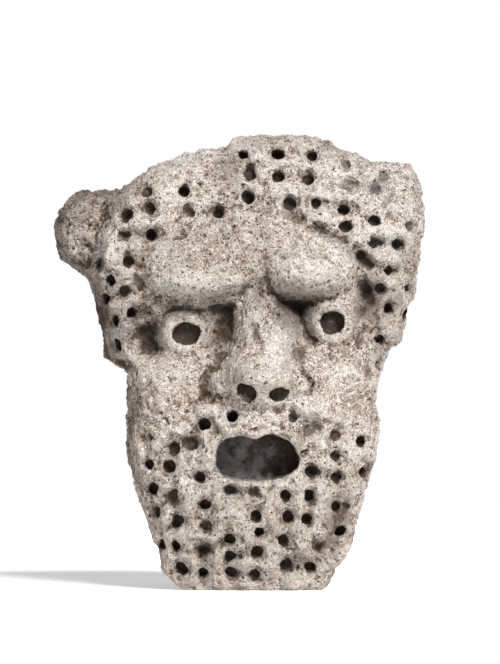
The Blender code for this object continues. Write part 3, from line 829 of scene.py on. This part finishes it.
class Tree:
    """Adds nodes to a tree and feeds their sockets with values or with other sockets."""

    def __init__(self, tree):
        self.tree = tree

    def feed(self, socket, value):
        if isinstance(value, bpy.types.NodeSocket):
            self.tree.links.new(value, socket)
        elif value is not None:
            socket.default_value = value

    def add(self, kind, *values, named=None, **settings):
        """A node with these settings, fed in order and then by name."""
        node = self.tree.nodes.new(kind)
        for key, value in settings.items():
            setattr(node, key, value)
        for socket, value in [*enumerate(values), *(named or {}).items()]:
            self.feed(node.inputs[socket], value)
        return node

    def math(self, operation, *values):
        return self.add("ShaderNodeMath", *values, operation=operation).outputs[0]

    def plus(self, a, b):
        return self.math("ADD", a, b)

    def minus(self, a, b):
        return self.math("SUBTRACT", a, b)

    def times(self, a, b):
        return self.math("MULTIPLY", a, b)

    def smooth(self, value, start, end, low=0.0, high=1.0):
        """Maps a value from start and end to low and high, with a smooth rise between."""
        named = {"Value": value, "From Min": start, "From Max": end, "To Min": low, "To Max": high}
        return self.add("ShaderNodeMapRange", named=named, interpolation_type="SMOOTHSTEP").outputs[0]

    def mix(self, share, under, over, blend="MIX"):
        """Two colours mixed by a share."""
        node = self.add("ShaderNodeMix", data_type="RGBA", blend_type=blend, clamp_factor=True)
        self.feed(node.inputs["Factor"], share)
        self.feed(node.inputs[6], under)
        self.feed(node.inputs[7], over)
        return node.outputs[2]


def new_tree(name, kind, inputs, outputs):
    """A node group with named sockets, each a name and a socket type."""
    tree = bpy.data.node_groups.new(name, kind)
    for in_out, sockets in (("INPUT", inputs), ("OUTPUT", outputs)):
        for label, socket in sockets.items():
            tree.interface.new_socket(label, in_out=in_out, socket_type=socket)
    build = Tree(tree)
    return build, build.add("NodeGroupInput").outputs, build.add("NodeGroupOutput").inputs


def drill_tree():
    """A tapered plug on every point, pointing in along the point's inward direction."""
    build, given, result = new_tree(
        "drilled_holes",
        "GeometryNodeTree",
        {
            "Points": "NodeSocketGeometry",
            "Diameter": "NodeSocketFloat",
            "Taper": "NodeSocketFloat",
            "Sides": "NodeSocketInt",
            "Material": "NodeSocketMaterial",
        },
        {"Plugs": "NodeSocketGeometry"},
    )
    wide = build.times(given["Diameter"], 0.5)
    narrow = build.times(wide, given["Taper"])
    sizes = {"Vertices": given["Sides"], "Radius Top": narrow, "Radius Bottom": wide, "Depth": 1.0}
    cone = build.add("GeometryNodeMeshCone", named=sizes)
    inward, shape = (
        build.add("GeometryNodeInputNamedAttribute", name, data_type="FLOAT_VECTOR").outputs[0]
        for name in ("inward", "shape")
    )
    turn = build.add("FunctionNodeAlignRotationToVector", named={"Vector": inward}, axis="Z").outputs[0]
    at = {"Points": given["Points"], "Instance": cone.outputs["Mesh"], "Rotation": turn, "Scale": shape}
    placed = build.add("GeometryNodeInstanceOnPoints", named=at)
    real = build.add("GeometryNodeRealizeInstances", placed.outputs[0]).outputs[0]
    finish = {"Geometry": real, "Material": given["Material"]}
    build.feed(result["Plugs"], build.add("GeometryNodeSetMaterial", named=finish).outputs[0])
    return build.tree


def set_tree_inputs(modifier, values):
    """Sets a Geometry Nodes modifier's inputs, found by name, through their identifiers."""
    for item in modifier.node_group.interface.items_tree:
        if item.item_type == "SOCKET" and item.in_out == "INPUT" and item.name in values:
            modifier[item.identifier] = values[item.name]


def drill_plugs(carving, material):
    """The plugs that cut the drilled holes, each a little different."""
    x, z, worn = drill_holes().T
    inward = drill_directions(x, z)
    depth = np.where(worn > 0, carving.worn_drill_depth, carving.drill_depth)
    chosen = np.random.default_rng(5)
    gauge = chosen.uniform(*DRILL_GAUGES, (len(x), 2)) - WORN_NARROWER * worn[:, None]
    depth = depth * chosen.uniform(*DRILL_DEPTHS, len(x))
    clear = carving.drill_diameter
    points = mesh_object("drill_points", place(x, z, carve(x, z)) - inward * clear)
    for name, values in (("inward", inward), ("shape", np.column_stack([gauge, depth + clear]))):
        set_attribute(points.data, name, values, "FLOAT_VECTOR", "vector")
    drill = points.modifiers.new("drill", "NODES")
    drill.node_group = drill_tree()
    set_tree_inputs(
        drill,
        {"Diameter": clear, "Taper": carving.drill_taper, "Sides": DRILL_SIDES, "Material": material},
    )
    apply_modifiers(points)
    return points


def carve_block(carving, material):
    """The block with its hollows cut, as an even mesh of small faces."""
    coarse = 1
    head = mesh_object("demon_head", *block(carving.grid_steps // coarse))
    straight = Vector((0, 1, 0))
    rising = Vector((0, math.cos(NOSTRIL_RISE), math.sin(NOSTRIL_RISE)))
    cutters = [
        drill_plugs(carving, material),
        plugs("mouth", [(mouth_outline(), carving.mouth_depth, straight)]),
        plugs("pupils", [(oval(at, half, 0), carving.pupil_depth, straight) for at, half in PUPILS]),
        plugs("nostrils", [(oval(*nostril), carving.nostril_depth, rising) for nostril in NOSTRILS]),
    ]
    for cutter in cutters:
        cut = head.modifiers.new(cutter.name, "BOOLEAN")
        cut.operation = "DIFFERENCE"
        cut.solver = "MANIFOLD"
        cut.object = cutter
    even = head.modifiers.new("even faces", "REMESH")
    even.mode = "VOXEL"
    even.voxel_size = carving.grain * coarse
    apply_modifiers(head)
    for cutter in cutters:
        discard(cutter)
    return head


def pit_depths(points, normals, count, smallest, largest, seed=21):
    """Round pits of many sizes at random places: how deep each point lies in one."""
    finder = KDTree(len(points))
    for index, point in enumerate(points):
        finder.insert(point, index)
    finder.balance()
    chosen = np.random.default_rng(seed)
    facing = np.clip(0.35 - normals[:, 1], 0.05, 1)
    middles = chosen.choice(len(points), count, p=facing / facing.sum())
    radii = smallest * (largest / smallest) ** (chosen.random(count) ** 2.2)
    depths = np.zeros(len(points))
    for middle, radius in zip(middles, radii):
        for _, index, distance in finder.find_range(points[middle], radius):
            depths[index] = max(depths[index], radius * (1 - (distance / radius) ** 2))
    return depths


def behind_share(points):
    """0 on the carved front, 1 on the sides and the back behind it."""
    x, z, forward = carver(points)
    edge = by_direction(from_middle(x, z)[0], EDGE_FORWARD)
    return smooth_step(2, 25, edge - STUMP_DROP * stump_share(x, z) - forward)


def from_outline(x, z):
    """How far inside the outline points lie, in parts."""
    angle, radius = from_middle(x, z)
    return outline_radius(angle) - radius


def keep_inside(points):
    """Points drawn back into the room that the solid takes."""
    return np.clip(points, np.array(LOW) + (0, MARGIN, 0), np.array(HIGH) - MARGIN)


def weather(head, carving):
    """Wears the surface: lumps, grains and pits, a broken stump and pick marks behind."""
    mesh = head.data
    points = average_over_neighbours(mesh, read_points(mesh), 1)
    write_points(mesh, points)
    normals = read_normals(mesh)
    x, z, _ = carver(points)
    behind = behind_share(points)
    broken = stump_share(x, z) * (1 - behind)
    underneath = (points[:, 2] < UNDERSIDE_HEIGHT) & (normals[:, 2] < UNDERSIDE_FACING)

    wear = sum(deep * rough(points, lump, seed, 2) for deep, lump, seed in GENERAL_WEAR)
    wear += 0.9 * smooth_step(0.2, 0.6, rough(points, 0.005, 4, 2))
    wear += broken * (3.6 * rough(points, 0.017, 5) + 2.2 * np.abs(rough(points, 0.007, 6)))
    chipped = 1.5 * rough(points, 0.008, 12) + 1.2 * rough(points, 0.02, 13, 2)
    wear += smooth_step(16, 2, from_outline(x, z)) * chipped
    wander = 0.004 * noise(points, 0.03, 8)
    picks = np.sin((points[:, 2] + 0.6 * points[:, 0] + 0.5 * points[:, 1] + wander) / 0.0017)
    wear += behind * 0.5 * picks * smooth_step(-0.3, 0.3, noise(points, 0.022, 9))
    wear *= carving.wear * MILLIMETRE
    wear += pit_depths(points, normals, carving.pits, *PIT_RADII)
    points -= normals * wear[:, None]
    points[underneath, 2] = LOW.z
    write_points(mesh, keep_inside(points))


def drop_crumbs(head):
    """Removes every bit of surface that doesn't hang together with the rest."""
    mesh = head.data
    ends = read_edges(mesh)
    group = np.arange(len(mesh.vertices))
    while True:
        one, other = group[ends[0]], group[ends[1]]
        joined = np.arange(len(group))
        np.minimum.at(joined, np.maximum(one, other), np.minimum(one, other))
        after = joined[group]
        if np.array_equal(after, group):
            break
        group = after
    crumbs = group != np.bincount(group).argmax()
    if crumbs.any():
        bm = bmesh.new()
        bm.from_mesh(mesh)
        bm.verts.ensure_lookup_table()
        bmesh.ops.delete(bm, geom=[bm.verts[k] for k in np.flatnonzero(crumbs)], context="VERTS")
        bm.to_mesh(mesh)
        bm.free()


def thin_out(head, carving):
    """Fewer faces where the surface is even, more where it is rough."""
    thin = head.modifiers.new("thin out", "DECIMATE")
    triangles = sum(len(face.vertices) - 2 for face in head.data.polygons)
    thin.ratio = min(1, carving.triangles / triangles)
    thin.use_collapse_triangulate = True
    apply_modifiers(head)
    write_points(head.data, keep_inside(read_points(head.data)))
    head.data.shade_smooth()


def mark_hollows(mesh, points, normals):
    """How deep each point lies below its surroundings, from near ones to wide ones."""
    mean = points
    for name, rounds, most in HOLLOWS:
        mean = average_over_neighbours(mesh, mean, rounds)
        set_attribute(mesh, name, np.clip(np.sum((mean - points) * normals, axis=1) / most, -1, 1))


def mark_bores(mesh, points, in_front):
    """Painted shade in the insides of holes, pupils, nostrils and mouth, darker the deeper they go, and painted
    light in the mouth, paler at its lower left, with grey patches.
    """
    x, z, forward = carver(points)
    below = carve(x, z) - forward
    bored = np.zeros(len(points))
    chosen = np.random.default_rng(41)
    # Painted shade inside each drilled hole, darker the deeper it lies; worn holes get little.
    for hole_x, hole_z, worn in drill_holes():
        near = (np.hypot(x - hole_x, z - hole_z) < HOLE_REACH) & (below < HOLE_DEEPEST)
        dark = 0.1 if worn else chosen.uniform(0.7, 1)
        bored[near] = dark * smooth_step(6, 16, below[near])
    mottled = 1.0 + 0.35 * rough(points, 0.006, 43, 2)
    # Painted shade in the pupils, mottled, and in the nostrils.
    for at, half in PUPILS:
        inside = spread(x, z, at, half) < 1.15
        bored = np.maximum(bored, mottled * inside * smooth_step(2, 12, below))
    for at, half, turn in NOSTRILS:
        inside = spread(x, z, at, np.array(half) + 4, turn) < 1.2
        bored = np.maximum(bored, inside * smooth_step(4, 14, below))
    set_attribute(mesh, "bored", bored * in_front)
    # Painted shade in the mouth, darker the deeper.
    set_attribute(mesh, "mouth", (mouth_spread(x, z) < 1.1) * smooth_step(3, 16, below) * in_front)
    # Painted light in the mouth: paler towards its lower left, in grey patches.
    lit_and_patchy = 0.5 + 1.9 * rough(points, 0.011, 33, 3) - (x - 14) / 38 - (z - 128) / 60
    set_attribute(mesh, "throat_light_and_patches", np.clip(lit_and_patchy, 0, 1))


def ovals_share(x, z, ovals, softness):
    """How strongly a table's soft ovals mark each point; where they overlap the strongest counts."""
    share = np.zeros_like(x)
    for *at, half_x, half_z, turn, much in ovals:
        share = np.maximum(share, much * bell(spread(x, z, at, (half_x, half_z), turn), 0, softness))
    return share


def mark_soiling(mesh, points, in_front):
    """Where the stone is broken, soiled or rubbed pale, and painted shade and light: darker towards the bottom
    and near the outline, most at the left, with the tables' painted shade and highlights.
    """
    x, z, _ = carver(points)
    set_attribute(mesh, "broken", stump_share(x, z))
    uneven = np.clip(0.95 + 0.5 * rough(points, 0.018, 31, 3), 0.55, 1.25)
    # Painted shade, darker towards the bottom.
    low = smooth_step(170, 60, z) * 0.25
    # Painted shade near the outline, strongest at the left, away from the light.
    rim = smooth_step(22, 4, from_outline(x, z)) * (0.12 + 0.45 * smooth_step(-60, -140, x))
    stains_and_shade = np.maximum(np.maximum(low, rim), ovals_share(x, z, STAINS_AND_SHADE, 0.9) * in_front)
    set_attribute(mesh, "soil_and_shade", np.clip(stains_and_shade * uneven, 0, 1))
    # Pale places: rubbed and chipped stone and painted light.
    rubbed = ovals_share(x, z, PALE_AND_LIT_PLACES, 0.8) * (1.5 - 0.6 * uneven)
    set_attribute(mesh, "pale_and_highlight", np.clip(rubbed, 0, 1.7) * in_front)


def mark_surface(head):
    """Stores on each point what its finish depends on."""
    mesh = head.data
    points = read_points(mesh)
    in_front = 1 - behind_share(points)
    mark_hollows(mesh, points, read_normals(mesh))
    mark_bores(mesh, points, in_front)
    mark_soiling(mesh, points, in_front)


# The finish


def tones_group():
    """Mottled stone: pale and brown patches under a fine salt and pepper of grains."""
    build, given, result = new_tree(
        "stone_tones",
        "ShaderNodeTree",
        {"Vector": "NodeSocketVector"}
        | dict.fromkeys(("Light", "Middle", "Dark", "Speck", "Fleck", "Grain"), "NodeSocketColor"),
        {"Color": "NodeSocketColor", "Height": "NodeSocketFloat"},
    )

    def clouds(scale, detail, roughness, distortion=0.0):
        named = {"Vector": given["Vector"], "Scale": scale, "Detail": detail}
        named |= {"Roughness": roughness, "Distortion": distortion}
        return build.add("ShaderNodeTexNoise", named=named).outputs[0]

    patches, blotches, grain = clouds(24, 3, 0.6), clouds(100, 4, 0.75), clouds(560, 2, 0.9)
    crumbs, flecks, veins = clouds(300, 3, 0.7, 1.2), clouds(240, 4, 0.8, 0.5), clouds(150, 3, 0.6, 2.5)
    tone = build.plus(build.times(patches, 0.5), build.times(blotches, 0.5))
    colour = build.mix(build.smooth(tone, 0.38, 0.50), given["Dark"], given["Middle"])
    colour = build.mix(build.smooth(tone, 0.46, 0.60), colour, given["Light"])
    colour = build.mix(build.smooth(flecks, 0.57, 0.61, 0.0, 0.85), colour, given["Fleck"])
    colour = build.mix(build.smooth(grain, 0.54, 0.42, 0.0, 1.0), colour, given["Grain"], "MULTIPLY")
    speck = build.smooth(crumbs, 0.38, 0.29)
    beside = build.math("ABSOLUTE", build.minus(veins, 0.5))
    vein = build.times(build.smooth(beside, 0.04, 0.0), build.smooth(flecks, 0.56, 0.42))
    marks = build.math("MAXIMUM", speck, build.times(vein, 0.85))
    build.feed(result["Color"], build.mix(build.times(marks, 0.8), colour, given["Speck"]))
    height = build.plus(build.times(blotches, 0.8), build.times(grain, 1.2))
    build.feed(result["Height"], build.minus(height, build.times(marks, 0.45)))
    return build.tree


def pits_group():
    """Small round pits in a share of evenly sized cells: how far a place lies in one."""
    build, given, result = new_tree(
        "stone_pits",
        "ShaderNodeTree",
        {"Vector": "NodeSocketVector"} | dict.fromkeys(("Scale", "Share", "Radius"), "NodeSocketFloat"),
        {"Mask": "NodeSocketFloat"},
    )
    cells = build.add("ShaderNodeTexVoronoi", named={"Vector": given["Vector"], "Scale": given["Scale"]})
    lot = build.add("ShaderNodeSeparateColor", cells.outputs["Color"]).outputs[0]
    swarms = build.add("ShaderNodeTexNoise", named={"Vector": given["Vector"], "Scale": 45.0, "Detail": 2.0})
    share = build.times(given["Share"], build.smooth(swarms.outputs[0], 0.36, 0.64, 0.25, 2.0))
    least = build.minus(1.0, share)
    chosen = build.math("GREATER_THAN", lot, least)
    size = build.times(build.smooth(lot, least, 1.0, 0.6, 1.0), chosen)
    radius = build.times(size, given["Radius"])
    inside = build.minus(radius, cells.outputs["Distance"])
    build.feed(result["Mask"], build.smooth(inside, 0.0, 0.12))
    return build.tree


def new_material(name, values):
    """A material with these values on its shader, and that shader."""
    made = bpy.data.materials.new(name)
    made.use_nodes = True
    shader = made.node_tree.nodes["Principled BSDF"]
    for socket, value in values.items():
        shader.inputs[socket].default_value = value
    return made, shader


def stone_material(finish):
    """Old pitted limestone: pale on its swells from wear and painted highlight, brown in its hollows from soil
    and painted shade, and painted dark with shade in its pits, bored holes and mouth.
    """
    values = {"Roughness": finish.roughness, "Specular IOR Level": 0.25}
    made, shader = new_material("weathered_limestone", values)
    build = Tree(made.node_tree)
    place_on_stone = build.add("ShaderNodeTexCoord").outputs["Object"]
    colours = {
        "Vector": place_on_stone,
        "Light": finish.light,
        "Middle": finish.middle,
        "Dark": finish.dark,
        "Speck": finish.dirt,
        "Fleck": finish.pale_and_highlight,
        "Grain": finish.grain,
    }
    tones = build.add("ShaderNodeGroup", named=colours, node_tree=tones_group())
    pits = pits_group()

    def pit_mask(scale, share, radius):
        sizes = {"Vector": place_on_stone, "Scale": scale, "Share": share, "Radius": radius}
        return build.add("ShaderNodeGroup", named=sizes, node_tree=pits).outputs["Mask"]

    def mark(name):
        return build.add("ShaderNodeAttribute", attribute_name=name).outputs["Fac"]

    large, small = pit_mask(220.0, 0.085, 0.32), pit_mask(360.0, 0.14, 0.42)
    colour, grain = tones.outputs["Color"], tones.outputs["Height"]
    broken_up = build.smooth(grain, 0.55, 0.95, 0.45, 1.25)

    # Stains, with painted shade near the outline, towards the bottom and in recesses.
    stained = build.times(mark("soil_and_shade"), build.smooth(grain, 0.4, 0.95, 0.8, 1.15))
    # Swells paler: worn crests and a painted highlight on them.
    colour = build.mix(build.smooth(mark("broad_hollow"), -0.1, -0.8, 0.0, 0.35), colour, finish.worn)
    colour = build.mix(stained, colour, finish.soot_and_shade, "MULTIPLY")
    # Darker in hollows from soil and painted shade; the stump darker for its broken stone.
    for name, start, most in (
        ("fine_hollow", 0.15, 0.5),
        ("broad_hollow", 0.15, 0.6),
        ("wide_hollow", 0.1, 0.42),
        ("broken", 0.0, 0.15),
    ):
        share = build.times(build.smooth(mark(name), start, 1.0, 0.0, most), broken_up)
        colour = build.mix(share, colour, finish.soil_and_shade, "MULTIPLY")
    # Pale rubbed and chipped places, and painted highlights.
    pale_and_lit = build.times(mark("pale_and_highlight"), build.smooth(grain, 0.75, 0.3, 0.35, 0.9))
    colour = build.mix(pale_and_lit, colour, finish.pale_and_highlight)
    # Pits painted dark: dirt and painted shade inside them.
    colour = build.mix(build.times(build.math("MAXIMUM", large, small), 0.95), colour, finish.hole)
    # Painted shade inside holes, pupils and nostrils.
    colour = build.mix(build.times(mark("bored"), 0.85), colour, finish.hole)
    # Painted shade in the mouth, paler where painted light falls at its lower left, with grey patches.
    throat = build.mix(mark("throat_light_and_patches"), finish.hole, finish.throat)
    colour = build.mix(build.times(mark("mouth"), 0.9), colour, throat)
    build.feed(shader.inputs["Base Color"], colour)
    height = build.minus(grain, build.times(large, 1.6))
    height = build.minus(height, build.times(small, 0.8))
    bump = build.add("ShaderNodeBump", named={"Strength": 1.0, "Distance": finish.bump, "Height": height})
    build.feed(shader.inputs["Normal"], bump.outputs[0])
    return made


def floor_material(finish):
    """Pale and matt, with a little light of its own so that no hard shadow shows."""
    values = {
        "Base Color": finish.floor,
        "Emission Color": finish.floor,
        "Emission Strength": 0.45,
        "Roughness": 0.9,
        "Specular IOR Level": 0.1,
    }
    return new_material("studio_floor", values)[0]


# Settings, operators and the panel


def number(name, description, default, **limits):
    limits = {"min": 0, **limits}
    return bpy.props.FloatProperty(name=name, description=description, default=default, **limits)


def whole_number(name, description, default, least=0):
    return bpy.props.IntProperty(name=name, description=description, default=default, min=least)


def length(name, description, default):
    return number(name, description, default, subtype="DISTANCE", unit="LENGTH", precision=4)


def colour(name, description, default):
    return bpy.props.FloatVectorProperty(
        name=name, description=description, default=(*default, 1), size=4, min=0, max=1, subtype="COLOR"
    )


class StoneHeadCarving(bpy.types.PropertyGroup):
    """Sizes of the carving and its wear"""

    drill_diameter: length("Drill", "Diameter of the drilled holes", 0.0112)
    drill_taper: number("Drill taper", "Width of a hole's end as a share of its mouth", 0.8, min=0.2, max=1)
    drill_depth: length("Drill depth", "Depth of a sound drilled hole", 0.018)
    worn_drill_depth: length("Worn drill depth", "Depth left of a worn hole", 0.0095)
    pupil_depth: length("Pupil depth", "Depth of the bored pupils", 0.015)
    mouth_depth: length("Mouth depth", "Depth of the open mouth", 0.050)
    nostril_depth: length("Nostril depth", "Depth of the nostrils", 0.016)
    grain: length("Face size", "Size of the mesh's faces", 0.0014)
    grid_steps: whole_number("Grid", "Steps across the carved front", 260, least=40)
    wear: number("Wear", "How strongly the surface is worn", 1)
    pits: whole_number("Pits", "Number of deep pits", 2600)
    triangles: whole_number("Triangles", "Most triangles kept", 196000, least=1000)


class StoneHeadFinish(bpy.types.PropertyGroup):
    """Colours of the stone, of the shade and light painted on it, and of the floor"""

    light: colour("Light", "Pale patches of the stone", (0.86, 0.79, 0.73))
    middle: colour("Middle", "The stone between its patches", (0.70, 0.615, 0.55))
    dark: colour("Dark", "Dark patches of the stone", (0.43, 0.34, 0.27))
    # Worn crests, also a painted highlight on the swells.
    worn: colour("Worn", "Worn crests", (0.83, 0.77, 0.71))
    grain: colour("Grain", "What darkens the stone between its grains", (0.475, 0.385, 0.315))
    dirt: colour("Dirt", "Dirt in the finest pits", (0.11, 0.082, 0.065))
    # Darkens the hollows and the stump: soil and painted shade.
    soil_and_shade: colour("Soil", "What darkens the hollows", (0.28, 0.21, 0.158))
    # Darkens the stains and the painted shade near the outline, low down and in recesses.
    soot_and_shade: colour("Soot", "What darkens the stained places", (0.135, 0.087, 0.058))
    # Pale chipped and rubbed stone and pale flecks, also painted highlights.
    pale_and_highlight: colour("Fresh", "Freshly chipped stone", (0.95, 0.92, 0.88))
    # Painted shade inside pits, bored holes and the mouth.
    hole: colour("Hole", "The inside of pits and bored holes", (0.075, 0.051, 0.038))
    # Painted light in the open mouth, in grey patches.
    throat: colour("Mouth", "Grey patches in the open mouth", (0.46, 0.43, 0.41))
    floor: colour("Floor", "The studio floor", (0.9, 0.9, 0.9))
    roughness: number("Roughness", "How matt it is", 0.93, max=1)
    bump: length("Bump", "Height of the grain", 0.0055)


class StoneHeadStudio(bpy.types.PropertyGroup):
    """The camera and the lights"""

    distance: length("Camera distance", "From the camera to the head", 6.0)
    key: number("Key", "Strength of the key light", 7.2)
    fill: number("Fill", "Strength of the fill light", 0.25)
    softness: number("Softness", "How wide the key light looks", 0.45, max=1.5, subtype="ANGLE")
    sky: number("Sky", "Strength of the even light all round", 0.2)


class STONEHEAD_OT_carve(bpy.types.Operator):
    """Carve, drill, weather and finish the stone head"""

    bl_idname = "stonehead.carve"
    bl_label = "Carve the head"

    def execute(self, context):
        carving = context.scene.stone_head_carving
        stone = stone_material(context.scene.stone_head_finish)
        head = carve_block(carving, stone)
        weather(head, carving)
        drop_crumbs(head)
        thin_out(head, carving)
        mark_surface(head)
        head.data.materials.clear()
        head.data.materials.append(stone)
        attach(head, "root")
        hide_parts(NODE)
        return {"FINISHED"}


def aim(thing, target):
    thing.rotation_euler = (Vector(target) - thing.location).to_track_quat("-Z", "Y").to_euler()


def add_sun(name, strength, softness, source):
    """A soft even light from the direction of source."""
    data = bpy.data.lights.new(name, "SUN")
    data.energy = strength
    data.angle = softness
    made = object_of(name, data)
    made.location = source
    aim(made, (0, 0, 0))


def add_camera(distance):
    """Straight in front and far off, with the head where the photograph has it."""
    data = bpy.data.cameras.new("camera")
    data.sensor_width = SENSOR
    data.lens = SENSOR * distance / (PHOTO_HEIGHT * PART)
    camera = object_of("camera", data)
    target = Vector(place(PHOTO_CENTRE[0], PHOTO_CENTRE[1], RIM_FORWARD))
    camera.location = target - Vector((0, distance, 0))
    aim(camera, target)
    bpy.context.scene.camera = camera


def studio_sky(strength):
    """An even pale light all round, white where the camera sees it."""
    world = bpy.data.worlds.new("studio")
    world.use_nodes = True
    build = Tree(world.node_tree)
    background = world.node_tree.nodes["Background"]
    background.inputs["Color"].default_value = (1, 1, 1, 1)
    seen = build.add("ShaderNodeLightPath").outputs["Is Camera Ray"]
    lit = build.add("ShaderNodeMapRange", named={"Value": seen, "To Min": strength, "To Max": 1.0}).outputs[0]
    build.feed(background.inputs["Strength"], lit)
    return world


class STONEHEAD_OT_stage(bpy.types.Operator):
    """Lay the floor and set the lights and the camera"""

    bl_idname = "stonehead.stage"
    bl_label = "Set up the studio"

    def execute(self, context):
        scene = context.scene
        studio = scene.stone_head_studio
        corners = [(x * FLOOR_HALF, z * FLOOR_HALF, 0) for x, z in ((-1, -1), (1, -1), (1, 1), (-1, 1))]
        floor = mesh_object("floor", corners, [(0, 1, 2, 3)])
        floor.data.materials.append(floor_material(scene.stone_head_finish))
        add_sun("key", studio.key, studio.softness, KEY_FROM)
        add_sun("fill", studio.fill, studio.softness * 2, FILL_FROM)
        scene.world = studio_sky(studio.sky)
        scene.view_settings.view_transform = "Standard"
        add_camera(studio.distance)
        return {"FINISHED"}


class STONEHEAD_PT_panel(bpy.types.Panel):
    """The stone head's settings and steps"""

    bl_idname = "STONEHEAD_PT_panel"
    bl_label = "Stone head"
    bl_space_type = "VIEW_3D"
    bl_region_type = "UI"
    bl_category = "Stone head"

    def draw(self, context):
        for settings in SETTINGS:
            box = self.layout.box()
            group = getattr(context.scene, settings)
            for name in group.bl_rna.properties.keys():
                if name not in ("rna_type", "name"):
                    box.prop(group, name)
        for operator in OPERATORS:
            self.layout.operator(operator.bl_idname)


SETTINGS = {
    "stone_head_carving": StoneHeadCarving,
    "stone_head_finish": StoneHeadFinish,
    "stone_head_studio": StoneHeadStudio,
}
OPERATORS = (STONEHEAD_OT_carve, STONEHEAD_OT_stage)


def register():
    for made in (*SETTINGS.values(), *OPERATORS, STONEHEAD_PT_panel):
        bpy.utils.register_class(made)
    for name, group in SETTINGS.items():
        setattr(bpy.types.Scene, name, bpy.props.PointerProperty(type=group))


def unregister():
    for name in SETTINGS:
        delattr(bpy.types.Scene, name)
    for made in (STONEHEAD_PT_panel, *reversed(OPERATORS), *reversed(SETTINGS.values())):
        bpy.utils.unregister_class(made)


def main():
    register()
    bpy.ops.stonehead.carve()
    bpy.ops.stonehead.stage()


if __name__ == "__main__":
    main()
